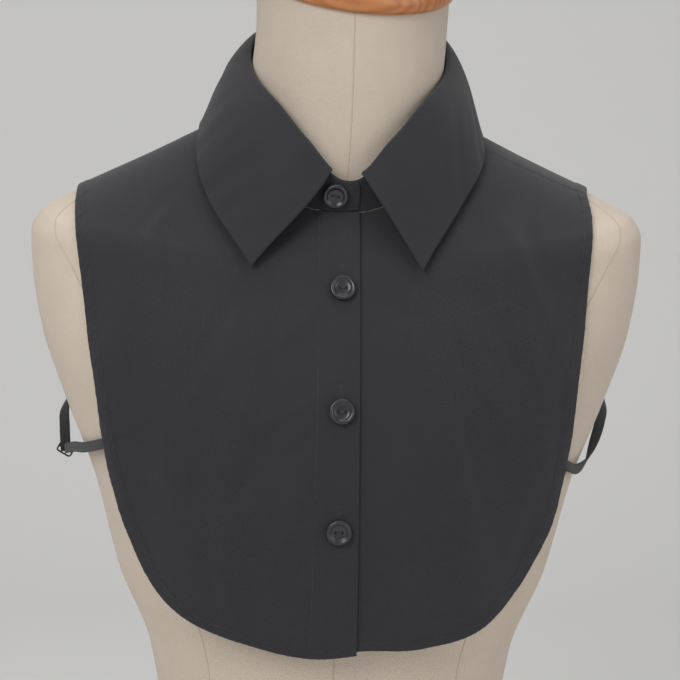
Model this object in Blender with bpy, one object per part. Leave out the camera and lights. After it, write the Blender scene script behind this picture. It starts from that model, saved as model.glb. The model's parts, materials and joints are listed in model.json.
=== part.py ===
"""Detachable shirt collar on a dress form, at real size.

Metres, +Z up. The front faces -Y, and +X is the wearer's left. The origin is the
middle of the form's flat underside.

Cloth lies on a draped surface that is read in two measures, like a paper pattern:
x, the place across the body, and q, the length of cloth from the shoulder ridge,
positive down the front and negative down the back.
"""

import math

import bmesh
import bpy
import numpy as np
from mathutils import Matrix, Vector

# Driving dimensions
WALL = 0.0010            # thickness of a cloth piece
SEAM = 0.0004            # gap between two pieces that meet
REST = 0.0014            # gap from the form to the cloth that lies on it
LAP = WALL + 2 * SEAM    # how far the overlapping front stands off the under one
PLACKET_HALF = 0.0125    # half the width of the overlap at the centre front
NECK_WIDTH = 0.0770      # half-width of the bib's neckline ring
SQUARE = 2.4             # mean squareness of the shoulder rings

# Rings of the dress form, from the base up. Each height is given at the side, the
# front and the back, each depth from the shoulder line. Swing is how a ring's height
# passes from side to front: 1 is a flat tilted ring, 2 a saddle. Lean is a shift to +X
# and nod one to +Y, and turn swings the ring's low side from the front towards +X, in degrees.
# The three eases are how far the cloth hangs off the form there.
SECTION_COLUMNS = ("side_z", "front_z", "back_z", "half_width", "front", "back", "square",
                   "swing", "lean", "nod", "turn", "side_ease", "front_ease", "back_ease")
FORM_SECTIONS = (
    # base, hip, high hip, waist, ribs
    (0.000, 0.000, 0.000, 0.150, 0.098, 0.104, 2.40, 2, 0, 0, 0, 0.020, 0.020, 0.020),
    (0.060, 0.060, 0.060, 0.158, 0.104, 0.116, 2.40, 2, 0, 0, 0, 0.020, 0.020, 0.020),
    (0.125, 0.125, 0.125, 0.142, 0.097, 0.104, 2.30, 2, 0, 0, 0, 0.020, 0.020, 0.020),
    (0.200, 0.200, 0.200, 0.1065, 0.086, 0.080, 2.20, 2, 0, 0, 0, 0.045, 0.030, 0.022),
    (0.265, 0.265, 0.265, 0.1145, 0.097, 0.088, 2.20, 2, 0, 0, 0, 0.0375, 0.021, 0.014),
    # under the bust, bust, armhole, chest, shoulder blades
    (0.318, 0.318, 0.318, 0.1350, 0.111, 0.096, 2.25, 2, 0, 0, 0, 0.018, 0.0105, 0.009),
    (0.378, 0.378, 0.378, 0.1505, 0.121, 0.103, 2.30, 2, 0, 0, 0, 0.005, 0.002, 0.005),
    (0.425, 0.425, 0.425, 0.1685, 0.118, 0.109, 2.35, 2, 0, 0, 0, 0.002, 0.001, 0.002),
    (0.470, 0.470, 0.470, 0.1835, 0.106, 0.112, 2.40, 2, 0, 0, 0, 0, 0, 0),
    (0.505, 0.498, 0.505, 0.1890, 0.0935, 0.1105, 2.45, 2, 0, 0, 0, 0, 0, 0),
    # shoulder end, its rounding, shoulder tip, mid shoulder, side of the neck
    (0.527, 0.512, 0.530, 0.1900, 0.0870, 0.1050, 2.45, 2, 0, 0, 0, 0, 0, 0),
    (0.5395, 0.5185, 0.542, 0.1845, 0.0835, 0.1010, 2.45, 2, 0, 0, 0, 0, 0, 0),
    (0.5490, 0.5245, 0.553, 0.1680, 0.0795, 0.0960, 2.40, 2, 0, 0, 0, 0, 0, 0),
    (0.5700, 0.5340, 0.574, 0.1235, 0.0725, 0.0835, 2.35, 2, 0, 0, 0, 0, 0, 0),
    (0.5900, 0.5420, 0.596, 0.0805, 0.0660, 0.0665, 2.20, 2, 0, 0, 0, 0, 0, 0),
    # foot of the neck, low neck, mid neck, top of the neck
    (0.6050, 0.5490, 0.6100, 0.0655, 0.0615, 0.0575, 2.10, 1.8, 0.002, 0, 0, 0, 0, 0),
    (0.6280, 0.5720, 0.6370, 0.0595, 0.0585, 0.0505, 2.05, 1.5, 0.005, 0, 4, 0, 0, 0),
    (0.6550, 0.6150, 0.6680, 0.0585, 0.0522, 0.0522, 2.00, 1.2, 0.007, -0.0058, 12, 0, 0, 0),
    (0.6815, 0.6630, 0.7000, 0.0595, 0.0530, 0.0530, 2.00, 1, 0.0075, -0.0065, 20, 0, 0, 0),
)
NECK_SIDE_ROW = 14
# The draped surface leaves the form at the side of the neck and closes over the
# neck hole, so that x and q run on without a break. No cloth lies on these rings.
CLOSING_SECTIONS = (
    (0.6000, 0.5560, 0.6040, 0.0550, 0.0560, 0.0550, 2.10, 2, 0, 0, 0, 0, 0, 0),
    (0.6050, 0.5800, 0.6070, 0.0280, 0.0350, 0.0350, 2.00, 2, 0, 0, 0, 0, 0, 0),
    (0.6070, 0.6070, 0.6070, 0.0, 0.0, 0.0, 2.00, 2, 0, 0, 0, 0, 0, 0),
)


class Loft:
    """A smooth body through the rings of a section table."""

    def __init__(self, rows, eased=False):
        values = np.array(rows, dtype=float)
        self.columns = {name: values[:, i] for i, name in enumerate(SECTION_COLUMNS)}
        if eased:
            for size, ease in (("half_width", "side_ease"), ("front", "front_ease"), ("back", "back_ease")):
                self.columns[size] = self.columns[size] + self.columns[ease]
        self.last = len(rows) - 1
        self.slopes = {name: self.monotone_slopes(v) for name, v in self.columns.items()}

    @staticmethod
    def monotone_slopes(values):
        """Slopes at evenly spaced values that never overshoot them."""
        steps = np.diff(values)
        before, after = steps[:-1], steps[1:]
        same_way = before * after > 0
        total = np.where(same_way, before + after, 1.0)
        inner = np.where(same_way, 2 * before * after / total, 0.0)
        return np.concatenate(([steps[0]], inner, [steps[-1]]))

    def read(self, name, t):
        """A column's smooth value at t, where whole numbers are the table's rows."""
        t = np.clip(t, 0, self.last)
        row = np.minimum(t.astype(int), self.last - 1)
        u = t - row
        v, m = self.columns[name], self.slopes[name]
        rise = v[row + 1] - v[row]
        bend = m[row] + m[row + 1] - 2 * rise
        return v[row] + u * (m[row] + u * (3 * rise - 2 * m[row] - m[row + 1] + u * bend))

    def heights(self, t, ahead, deep):
        """Height on ring t, where deep runs from 0 at the side to 1 at the front or back."""
        side = self.read("side_z", t)
        end = np.where(ahead, self.read("front_z", t), self.read("back_z", t))
        return side + (end - side) * deep ** self.read("swing", t)

    def ring(self, t, angle):
        """Points on ring t at angles from the front (0), by +X, to the back (pi)."""
        t, angle = np.broadcast_arrays(np.asarray(t, float), np.asarray(angle, float))
        power = 2 / self.read("square", t)
        across = np.abs(np.sin(angle)) ** power
        deep = np.abs(np.cos(angle)) ** power
        ahead = np.cos(angle) > 0
        x = np.sign(np.sin(angle)) * across * self.read("half_width", t)
        y = np.where(ahead, -self.read("front", t), self.read("back", t)) * deep
        turned = np.cos(angle - np.radians(self.read("turn", t)))
        z = self.heights(t, turned > 0, np.abs(turned) ** power)
        return np.stack((x + self.read("lean", t), y + self.read("nod", t), z), axis=-1)


class Drape(Loft):
    """The surface that the cloth lies on, read at x across and q along the cloth."""

    LOWEST = 3.0         # ring, counted from the base, that no hem reaches
    WIDEST = 10.0        # the shoulder end, the widest ring
    STEPS = 160          # samples along one length of cloth

    def __init__(self):
        super().__init__(FORM_SECTIONS[:NECK_SIDE_ROW + 1] + CLOSING_SECTIONS, eased=True)
        self.neckline = float(self.ridge(np.array([NECK_WIDTH]))[0])

    def ridge(self, x):
        """Ring whose side lies at x: the top of the shoulder there."""
        low, high = np.full(x.shape, self.WIDEST), np.full(x.shape, float(self.last))
        for _ in range(45):
            middle = (low + high) / 2
            wide = self.read("half_width", middle) > np.abs(x)
            low, high = np.where(wide, middle, low), np.where(wide, high, middle)
        return low

    def slice(self, x, t, ahead):
        """Point at x on ring t, in front of the ridge or behind it."""
        across = np.clip(np.abs(x) / np.maximum(self.read("half_width", t), 1e-9), 0, 1)
        square = self.read("square", t)
        deep = (1 - across ** square) ** (1 / square)
        y = np.where(ahead, -self.read("front", t), self.read("back", t)) * deep
        return np.stack((x + 0 * t, y, self.heights(t, ahead, deep)), axis=-1)

    def lengths(self, x, ahead):
        """Rings down one length of cloth at each x, and the length to each."""
        top = self.ridge(x)[:, None]
        down = np.linspace(0, 1, self.STEPS)[None, :] ** SQUARE
        t = top - (top - self.LOWEST) * down
        points = self.slice(x[:, None], t, ahead[:, None])
        steps = np.linalg.norm(np.diff(points, axis=1), axis=2)
        return t, np.concatenate((np.zeros((len(x), 1)), np.cumsum(steps, axis=1)), axis=1)

    def surface(self, x, q):
        """Points at places (x, q)."""
        x, q = np.broadcast_arrays(np.asarray(x, float), np.asarray(q, float))
        shape = x.shape
        x, q = x.ravel(), q.ravel()
        t, length = self.lengths(x, q >= 0)
        row = np.arange(len(x))
        step = np.clip((length < np.abs(q)[:, None]).sum(axis=1) - 1, 0, self.STEPS - 2)
        share = (np.abs(q) - length[row, step]) / (length[row, step + 1] - length[row, step])
        even = (step + share) / (self.STEPS - 1)
        top = t[:, 0]
        t = top - (top - self.LOWEST) * np.clip(even, 0, 1) ** SQUARE
        return self.slice(x, t, q >= 0).reshape(shape + (3,))

    def place(self, t, angles):
        """Places (x, q) of points on ring t at a row of angles."""
        x = self.ring(t, angles)[:, 0]
        ahead = np.cos(angles) > 0
        rings, length = self.lengths(x, ahead)
        q = np.array([np.interp(-t, -r, n) for r, n in zip(rings, length)])
        return np.stack((x, np.where(ahead, q, -q)), axis=-1)

    def normal(self, x, q):
        """Outward unit normals at places (x, q)."""
        step = 0.0006
        along_x = self.surface(x + step, q) - self.surface(x - step, q)
        along_q = self.surface(x, q + step) - self.surface(x, q - step)
        normal = np.cross(along_q, along_x)
        return normal / np.linalg.norm(normal, axis=-1, keepdims=True)


# Outlines of the bib, in millimetres of x and q, from the shoulder down to the hem.
# x is negative on the wearer's right. A front's rows end at its centre-front edge.
RIGHT_ARMHOLE = ((-161, -16), (-160, 12), (-159, 46), (-154.5, 80), (-147.5, 126), (-139.5, 163),
                 (-135, 194), (-130.5, 222))
RIGHT_HEM = ((-130.5, 222), (-122, 260), (-106, 301), (-80, 332), (-46, 354), (-18, 361.5), (12.5, 359.5))
LEFT_ARMHOLE = ((152.5, 22), (153.5, 50), (150, 85), (146, 122), (139.5, 160), (136.5, 190), (133, 216))
LEFT_HEM = ((133, 216), (124.5, 257), (106, 302), (80, 336), (48, 354), (12, 357.5), (-12.5, 357.5))
BACK_RIGHT_ARMHOLE = ((-161, -16), (-160.5, -50), (-154, -95), (-143, -140), (-137, -185), (-131, -222))
BACK_LEFT_ARMHOLE = ((152.5, 22), (155, 0), (157, -40), (153, -90), (143, -140), (137, -185), (131, -222))
BACK_HEM = ((-131, -222), (-112, -268), (-78, -303), (-40, -319), (0, -323), (40, -319), (78, -303),
            (112, -268), (131, -222))
FRONT_ROWS = 24              # rows of the panels' meshes
BACK_ROWS = 21
SHOULDER_COLUMNS = 8
SHOULDER_CROWD = 1.3         # more than 1 crowds the columns towards the shoulder's end

# Angles on the neckline ring, in degrees from the centre front, of the shoulder seams.
# The bib hangs a little turned: its left seam lies forward of the ridge, its right one behind.
RIGHT_SEAM_ANGLE = -96.0
LEFT_SEAM_ANGLE = -287.0

# Soft folds that stand off the body: start and end in millimetres of x and q, then
# half-width and height.
FOLD_COLUMNS = ("x_1", "q_1", "x_2", "q_2", "half_width", "height")
FOLDS = (
    (-112, 60, -86, 330, 13, 2.6),
    (-70, 150, -58, 345, 12, 2.0),
    (-138, 90, -126, 240, 9, 1.6),
    (52, 140, 84, 330, 13, 2.6),
    (100, 60, 122, 250, 12, 2.0),
    (30, 200, 40, 350, 11, 1.6),
    (-80, -110, -60, -310, 15, 2.4),
    (30, -120, 42, -315, 14, 2.2),
    (105, -90, 108, -270, 13, 2.0),
)
NECK_REACH = 0.085           # from the shoulder ridge to the neckline, along the cloth
NECK_EASE = 0.0008           # how far the neckline stands off the foot of the neck
FLARE = 0.0045               # how far the armhole edges stand off below the shoulder

# The collar's roll line: angle from the centre front, in degrees, and height.
ROLL_LINE = ((0, 0.5650), (25, 0.5875), (46, 0.6080), (75, 0.6255), (113, 0.6480), (180, 0.6560))
ROLL_HALF_WIDTH = 0.0612
ROLL_FRONT = 0.0715
ROLL_BACK = 0.0530
ROLL_LEAN = 0.0055           # the neck, and so the collar, leans to the wearer's left
ROLL_RADIUS = 0.0016         # of the fold along the roll line
ROLL_GAP = 0.0009            # from the stand's top edge to the leaf's
LEAF_BULGE = 0.0020          # how far the leaf's fall is rounded out

LEAF_ENDS = (-10.0, -352.5)  # angles of the leaf's front ends on the roll line
# The leaf's lower edge: angle on the roll line, place in millimetres of x and q, and
# how far it stands off the bib.
LEAF_EDGE = (
    (LEAF_ENDS[0], -52, 127, 4.0),
    (-26, -66, 101, 4.0),
    (-44, -77, 76, 3.5),
    (-64, -84, 48, 3.0),
    (-84, -84.5, 22, 2.5),
    (-106, -80, -8, 2.5),
    (-130, -65, -46, 2.5),
    (-155, -36, -74, 2.5),
    (-180, 0, -82, 2.5),
    (-205, 36, -74, 2.5),
    (-230, 65, -46, 2.5),
    (-254, 81, -8, 2.5),
    (-274, 86.5, 22, 2.5),
    (-294, 85, 45, 3.0),
    (-314, 76, 70, 3.5),
    (-334, 63, 100, 4.0),
    (LEAF_ENDS[1], 48.5, 129, 4.0),
)

# The stand's two ends lie over each other at the centre front. Angles on the neckline
# and on the roll line, in degrees, of the end on top, and of the end beneath it.
STAND_TOP_END = (7.5, 5.6)
STAND_UNDER_END = (-367.5, -377.0)
STAND_GAP = 0.055            # rings between the bib's edge and the stand's
STAND_ROWS = 4
LEAF_GRID = (41, 6)          # columns, and rows below the roll
ROLL_TURNS = (0, 45, 95, 140)  # degrees round the roll

# Buttons: place in millimetres of x and q. The first sits on the stand instead,
# at this angle on the roll line and this share of its height.
BUTTON_PLACES = ((1.9, 141.6), (1.8, 214.5), (1.0, 283.9))
STAND_BUTTON = (-5.2, 0.50)
BUTTON_RADIUS = 0.0076
BUTTON_REST = 0.0006         # gap under a button
# Turned profile, as shares of the radius and heights: foot, edge, rim, dish, floor.
BUTTON_PROFILE = ((0.84, 0), (0.97, 0.0006), (1.0, 0.0014), (0.96, 0.0025), (0.86, 0.0030),
                  (0.72, 0.0027), (0.58, 0.0018), (0.42, 0.0015))
BUTTON_HOLE = 0.0009
BUTTON_HOLE_STEP = 0.0017    # from the button's centre to each hole's
BUTTON_SIDES = 24

# The straps: points in metres and the ribbon's twist about its run, in degrees, where
# 0 holds its width upright.
STRAP_WIDTH = 0.0065
STRAP_THICK = 0.0010
STRAP_STATIONS = 22
STRAP_TUCK = 0.0013          # gap between a strap's end and the bib over it
STRAP_ENDS = {                # place in millimetres where each end lies under the bib
    "right_front": (-127, 199), "right_back": (-131, -172),
    "left_front": (128, 211), "left_back": (131, -172),
}
STRAP_ROUTES = {
    "strap_right_front": ((-0.1530, -0.0500, 0.3985, 0), (-0.1615, -0.0270, 0.3945, 0),
                          (-0.1690, -0.0049, 0.3892, 0)),
    "strap_right_back": ((-0.1690, -0.0009, 0.3868, 90), (-0.1705, 0.0080, 0.3990, 88),
                         (-0.1715, 0.0240, 0.4110, 60), (-0.1640, 0.0500, 0.4240, 25)),
    "strap_left": ((0.1480, -0.0560, 0.3895, 0), (0.1560, -0.0400, 0.3920, 30),
                   (0.1625, -0.0220, 0.4000, 75), (0.1690, -0.0020, 0.4110, 120),
                   (0.1735, 0.0170, 0.4200, 165), (0.1690, 0.0430, 0.4270, 180)),
}
SLIDER_PLACE = (-0.1690, -0.0030, 0.3885)
SLIDER_TURN = 30             # degrees about Y
SLIDER_SIZE = (0.0105, 0.0012, 0.0076)
SLIDER_SLOT = (0.0078, 0.0017)   # each slot's length and height
SLIDER_BAR = 0.0011          # the bar between the slots

# The wooden cap: how far each ring stands outside the neck's top, and its height.
CAP_PROFILE = ((0.0010, 0.0004), (0.0024, 0.0010), (0.0032, 0.0034), (0.0030, 0.0075), (0.0008, 0.0112),
               (-0.0080, 0.0150), (-0.0230, 0.0190), (-0.0400, 0.0212))


def smooth_line(points, count):
    """Evenly spaced points along a Catmull-Rom curve through hand-set ones."""
    points = np.asarray(points, float)
    ends = np.vstack((2 * points[0] - points[1], points, 2 * points[-1] - points[-2]))
    dense = []
    for i in range(1, len(ends) - 2):
        before, start, end, after = ends[i - 1:i + 3]
        reach = np.linalg.norm(end - start)
        leave = (end - before) / max(np.linalg.norm(end - before), 1e-9) * reach
        arrive = (after - start) / max(np.linalg.norm(after - start), 1e-9) * reach
        u = np.linspace(0, 1, 24, endpoint=False)[:, None]
        dense.append((2 * u ** 3 - 3 * u ** 2 + 1) * start + (u ** 3 - 2 * u ** 2 + u) * leave
                     + (3 * u ** 2 - 2 * u ** 3) * end + (u ** 3 - u ** 2) * arrive)
    dense.append(points[-1:])
    return spread(np.vstack(dense), count)


def spread(points, count):
    """The same line with evenly spaced points."""
    steps = np.linalg.norm(np.diff(points, axis=0), axis=1)
    length = np.concatenate(([0], np.cumsum(steps)))
    even = np.linspace(0, length[-1], count)
    return np.stack([np.interp(even, length, column) for column in points.T], axis=-1)


def fill(top, bottom, first, last):
    """Grid of places between four edges: a Coons patch, rows from top to bottom."""
    rows, columns = len(first), len(top)
    v = np.linspace(0, 1, rows)[:, None, None]
    u = np.linspace(0, 1, columns)[None, :, None]
    across = (1 - u) * first[:, None] + u * last[:, None]
    down = (1 - v) * top[None] + v * bottom[None]
    corners = ((1 - v) * ((1 - u) * top[0] + u * top[-1])
               + v * ((1 - u) * bottom[0] + u * bottom[-1]))
    return across + down - corners


def step(low, high, value):
    """Smooth step from 0 at low to 1 at high."""
    u = np.clip((value - low) / (high - low), 0, 1)
    return u * u * (3 - 2 * u)


def fold_height(x, q):
    """Height of the soft folds at places (x, q)."""
    total = np.zeros(np.broadcast(x, q).shape)
    for x_1, q_1, x_2, q_2, half_width, height in np.array(FOLDS) / 1000:
        run_x, run_q = x_2 - x_1, q_2 - q_1
        length = math.hypot(run_x, run_q)
        along = ((x - x_1) * run_x + (q - q_1) * run_q) / length ** 2
        aside = ((x - x_1) * run_q - (q - q_1) * run_x) / length
        ends = step(-0.05, 0.35, along) * step(1.25, 0.8, along)
        total = total + height * ends * np.exp(-(aside / half_width) ** 2)
    return total


def stand_off(x, q):
    """Gap from the draped surface to a panel's inner face."""
    flare = FLARE * step(0.105, 0.140, np.abs(x)) * step(0.10, 0.17, np.abs(q))
    from_neck = np.hypot(x / NECK_WIDTH, q / NECK_REACH)
    return REST + flare + NECK_EASE * step(1.5, 1.0, from_neck) + fold_height(x, q)


def lap_share(x):
    """How much of the lap's height the wearer's right layers have at x."""
    return step(-0.048, -0.021, x)


def lift(drape, places, height):
    """Points over places (x, q), a given height above the draped surface."""
    x, q = places[..., 0], places[..., 1]
    return drape.surface(x, q) + drape.normal(x, q) * np.asarray(height)[..., None]


def finish(name, color, roughness, metallic=0.0):
    """A plain material."""
    material = bpy.data.materials.new(name)
    material.use_nodes = True
    shader = material.node_tree.nodes["Principled BSDF"]
    shader.inputs["Base Color"].default_value = (*color, 1)
    shader.inputs["Roughness"].default_value = roughness
    shader.inputs["Metallic"].default_value = metallic
    return material


def solid(name, vertices, faces, material):
    """A named object from vertices and faces, with its faces pointing out."""
    mesh = bpy.data.meshes.new(name)
    mesh.from_pydata([tuple(v) for v in vertices], [], faces)
    work = bmesh.new()
    work.from_mesh(mesh)
    bmesh.ops.recalc_face_normals(work, faces=work.faces)
    work.to_mesh(mesh)
    work.free()
    mesh.shade_smooth()
    mesh.set_sharp_from_angle(angle=math.radians(40))
    mesh.materials.append(material)
    made = bpy.data.objects.new(name, mesh)
    bpy.context.scene.collection.objects.link(made)
    return made


def wall(name, inner, outer, material):
    """A closed cloth wall between two point grids of the same size."""
    rows, columns = inner.shape[:2]
    count = rows * columns
    index = np.arange(count).reshape(rows, columns)
    a, b, c, d = index[:-1, :-1], index[:-1, 1:], index[1:, 1:], index[1:, :-1]
    quads = np.stack((a, b, c, d), axis=-1).reshape(-1, 4)
    faces = quads[:, ::-1].tolist() + (quads + count).tolist()
    border = np.concatenate((index[0, :-1], index[:-1, -1], index[-1, :0:-1], index[:0:-1, 0])).tolist()
    for start, end in zip(border, border[1:] + border[:1]):
        faces.append((start, end, end + count, start + count))
    return solid(name, np.vstack((inner.reshape(-1, 3), outer.reshape(-1, 3))), faces, material)


def rings(name, loops, material):
    """A closed body through loops of points, with flat ends."""
    loops = np.asarray(loops)
    count, around = loops.shape[:2]
    faces = [tuple(range(around)), tuple(range((count - 1) * around, count * around))]
    for i in range(count - 1):
        for j in range(around):
            k = (j + 1) % around
            faces.append((i * around + j, i * around + k, (i + 1) * around + k, (i + 1) * around + j))
    return solid(name, loops.reshape(-1, 3), faces, material)


def panel(name, drape, grid, material, over=0):
    """A cloth panel over a grid of places, raised where it laps over another."""
    inner = stand_off(grid[..., 0], grid[..., 1]) + over
    return wall(name, lift(drape, grid, inner), lift(drape, grid, inner + WALL), material)


def neckline(drape, start, end):
    """Places along the bib's neckline between two angles, one below each stand column."""
    angles = neck_angles(stand_angles())
    inside = [a for a in angles if min(start, end) + 3 < a < max(start, end) - 3]
    inside.sort(reverse=start > end)
    return drape.place(drape.neckline, np.radians([start] + inside + [end]))


def shoulder_seam(neck, armhole):
    """Places of a shoulder seam from the neck to the armhole's first row."""
    tip = np.array(armhole[0]) / 1000
    share = 1 - (1 - np.linspace(0, 1, SHOULDER_COLUMNS + 1)) ** SHOULDER_CROWD
    return neck + (tip - neck) * share[:, None]


def make_fronts(drape, black):
    """The two fronts. The wearer's right one laps over the left one."""
    for name, armhole, hem, edge_angle, seam_angle in (
            ("right_front", RIGHT_ARMHOLE, RIGHT_HEM, STAND_TOP_END[0], RIGHT_SEAM_ANGLE),
            ("left_front", LEFT_ARMHOLE, LEFT_HEM, STAND_UNDER_END[0], LEFT_SEAM_ANGLE)):
        neck = neckline(drape, edge_angle, seam_angle)
        seam = shoulder_seam(neck[-1], armhole) + (0, SEAM / 2)
        top = np.vstack((neck[:-1], seam))
        side = smooth_line(np.array(armhole) / 1000, FRONT_ROWS)
        side[0] = top[-1]
        bottom = smooth_line(np.array(hem)[::-1] / 1000, len(top))
        centre = top[0] + (bottom[0] - top[0]) * np.linspace(0, 1, FRONT_ROWS)[:, None]
        grid = fill(top, bottom, centre, side)
        over = LAP * lap_share(grid[..., 0]) if name == "right_front" else 0
        panel(name, drape, grid, black, over)


def make_back(drape, black):
    """The back, from shoulder seam to shoulder seam round the neck."""
    neck = neckline(drape, RIGHT_SEAM_ANGLE, LEFT_SEAM_ANGLE)
    right = shoulder_seam(neck[0], BACK_RIGHT_ARMHOLE)[::-1] - (0, SEAM / 2)
    left = shoulder_seam(neck[-1], BACK_LEFT_ARMHOLE) - (0, SEAM / 2)
    top = np.vstack((right, neck[1:-1], left))
    first = smooth_line(np.array(BACK_RIGHT_ARMHOLE) / 1000, BACK_ROWS)
    last = smooth_line(np.array(BACK_LEFT_ARMHOLE) / 1000, BACK_ROWS)
    bottom = smooth_line(np.array(BACK_HEM) / 1000, len(top))
    first[0], last[0] = top[0], top[-1]
    panel("back", drape, fill(top, bottom, first, last), black)


def roll_point(angles):
    """Points of the roll line at angles in degrees from the centre front."""
    turn = np.radians(angles)
    around = np.abs((np.asarray(angles, float) + 180) % 360 - 180)
    mirrored = [(-a, z) for a, z in ROLL_LINE[:0:-1]] + list(ROLL_LINE)
    dense = smooth_line(np.array(mirrored) * (0.001, 1), 240)
    y = np.where(np.cos(turn) > 0, -ROLL_FRONT, -ROLL_BACK) * np.cos(turn)
    x = ROLL_LEAN + ROLL_HALF_WIDTH * np.sin(turn)
    return np.stack((x, y, np.interp(around * 0.001, dense[:, 0], dense[:, 1])), axis=-1)


def unit(vectors):
    """The same directions at length 1."""
    return vectors / np.linalg.norm(vectors, axis=-1, keepdims=True)


def grid_normals(grid):
    """Unit normals of a grid of points, on the side where rows turn from columns."""
    along = np.gradient(grid, axis=1)
    down = np.gradient(grid, axis=0)
    return unit(np.cross(along, down))


def wall_about(name, middle, material):
    """A cloth wall whose middle is a grid of points."""
    normal = grid_normals(middle) * WALL / 2
    return wall(name, middle - normal, middle + normal, material)


def outward(angles):
    """Level directions away from the neck along the roll line."""
    turn = np.radians(angles)
    depth = np.where(np.cos(turn) > 0, ROLL_FRONT, ROLL_BACK)
    level = np.stack((np.sin(turn) / ROLL_HALF_WIDTH, -np.cos(turn) / depth, 0 * turn), axis=-1)
    return unit(level)


def neck_angles(roll_angles):
    """Angles on the neckline below angles on the roll line."""
    share = (roll_angles - STAND_TOP_END[1]) / (STAND_UNDER_END[1] - STAND_TOP_END[1])
    return STAND_TOP_END[0] + (STAND_UNDER_END[0] - STAND_TOP_END[0]) * share


def stand_edges(drape, roll_angles):
    """The stand's lower and upper edges below and on the roll line."""
    turn = np.radians(neck_angles(roll_angles))
    edge = drape.place(drape.neckline + STAND_GAP, turn)
    over = LAP * lap_share(edge[:, 0]) * (roll_angles > -90)
    height = stand_off(edge[:, 0], edge[:, 1]) + WALL / 2 + over
    upper = roll_point(roll_angles) + outward(roll_angles) * over[:, None]
    return lift(drape, edge, height), upper


def leaf_angles():
    """Angles of the leaf's columns on the roll line."""
    return np.linspace(*LEAF_ENDS, LEAF_GRID[0])


def stand_angles():
    """Angles of the stand's columns on the roll line: the leaf's, and both lapping ends."""
    before = np.linspace(STAND_TOP_END[1], LEAF_ENDS[0], 3)[:-1]
    after = np.linspace(LEAF_ENDS[1], STAND_UNDER_END[1], 4)[1:]
    return np.concatenate((before, leaf_angles(), after))


def make_stand(drape, black):
    """The collar stand, a band round the neck whose ends lap at the centre front."""
    lower, upper = stand_edges(drape, stand_angles())
    down = np.linspace(0, 1, STAND_ROWS)[:, None, None]
    return wall_about("collar_stand", upper + (lower - upper) * down, black)


def make_leaf(drape, black):
    """The collar leaf, rolled over the stand and falling to its points."""
    table = np.array(LEAF_EDGE, float)
    angles = leaf_angles()
    run = smooth_line(table[:, 1:3] / 1000, 400)
    nearest = [np.argmin(np.linalg.norm(run - row, axis=1)) for row in table[:, 1:3] / 1000]
    at = np.interp(-angles, -table[:, 0], nearest)
    edge = np.stack([np.interp(at, np.arange(400), column) for column in run.T], axis=-1)
    above = np.interp(-angles, -table[:, 0], table[:, 3]) / 1000
    low = lift(drape, edge, stand_off(edge[:, 0], edge[:, 1]) + 1.5 * WALL + above)
    away = drape.normal(edge[:, 0], edge[:, 1])

    foot_edge, top = stand_edges(drape, angles)
    climb, out = unit(top - foot_edge), outward(angles)
    start = top + climb * ROLL_GAP
    turns = np.radians(ROLL_TURNS)
    sheet = [start + ROLL_RADIUS * (out * (1 - math.cos(a)) + climb * math.sin(a)) for a in turns]
    leave = out * math.sin(turns[-1]) + climb * math.cos(turns[-1])
    rolled = sheet[-1]
    reach = np.linalg.norm(low - rolled, axis=-1, keepdims=True)
    second = rolled + leave * reach * 0.30
    third = low + (rolled - low) * 0.33 + away * LEAF_BULGE
    for v in np.linspace(0, 1, LEAF_GRID[1] + 1)[1:]:
        sheet.append((1 - v) ** 3 * rolled + 3 * v * (1 - v) ** 2 * second
                     + 3 * v * v * (1 - v) * third + v ** 3 * low)
    return wall_about("collar_leaf", np.array(sheet), black)


def facing(point, normal, up):
    """A matrix that puts a piece at a point with +Z along normal and +Y near up."""
    z = Vector(normal).normalized()
    x = Vector(up).cross(z).normalized()
    turn = Matrix((x, z.cross(x), z)).transposed().to_4x4()
    return Matrix.Translation(Vector(point)) @ turn


def cutter(name, mesh, matrix, *bodies):
    """A hidden cutting shape and the cuts that it makes."""
    tool = bpy.data.objects.new(name, mesh)
    bpy.context.scene.collection.objects.link(tool)
    tool.matrix_world = matrix
    tool.hide_render = True
    tool.display_type = "WIRE"
    for body in bodies:
        cut = body.modifiers.new(name, "BOOLEAN")
        cut.operation = "DIFFERENCE"
        cut.object = tool


def button_tool():
    """Mesh of the two pegs that cut a button's holes."""
    work = bmesh.new()
    for side in (-1, 1):
        place = Matrix.Translation((0, side * BUTTON_HOLE_STEP, 0))
        bmesh.ops.create_cone(work, cap_ends=True, segments=10, radius1=BUTTON_HOLE, radius2=BUTTON_HOLE,
                              depth=0.01, matrix=place)
    mesh = bpy.data.meshes.new("button_pegs")
    work.to_mesh(mesh)
    work.free()
    return mesh


def make_buttons(drape):
    """Four two-hole buttons: one on the stand, three down the right front."""
    plastic = finish("black_button", (0.015, 0.015, 0.017), 0.35)
    turn = np.linspace(0, 2 * math.pi, BUTTON_SIDES, endpoint=False)
    loops = [np.stack((share * BUTTON_RADIUS * np.cos(turn), share * BUTTON_RADIUS * np.sin(turn),
                       height + 0 * turn), axis=-1) for share, height in BUTTON_PROFILE]
    pegs = button_tool()
    roll_angle, up = STAND_BUTTON
    lower, upper = stand_edges(drape, np.array([roll_angle]))
    climb = unit(upper - lower)[0]
    normal = np.cross((1, 0, 0), climb)
    middle = (lower + (upper - lower) * up)[0] + normal * (WALL / 2 + BUTTON_REST)
    frames = [facing(middle, normal, climb)]
    for place in np.array(BUTTON_PLACES) / 1000:
        height = stand_off(place[0], place[1]) + LAP + WALL + BUTTON_REST
        point = lift(drape, place[None], height)[0]
        frames.append(facing(point, drape.normal(place[:1], place[1:])[0], (0, 0, 1)))
    for number, frame in enumerate(frames, 1):
        button = rings(f"button_{number}", loops, plastic)
        button.matrix_world = frame
        cutter(f"button_pegs_{number}", pegs, frame, button)


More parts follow.
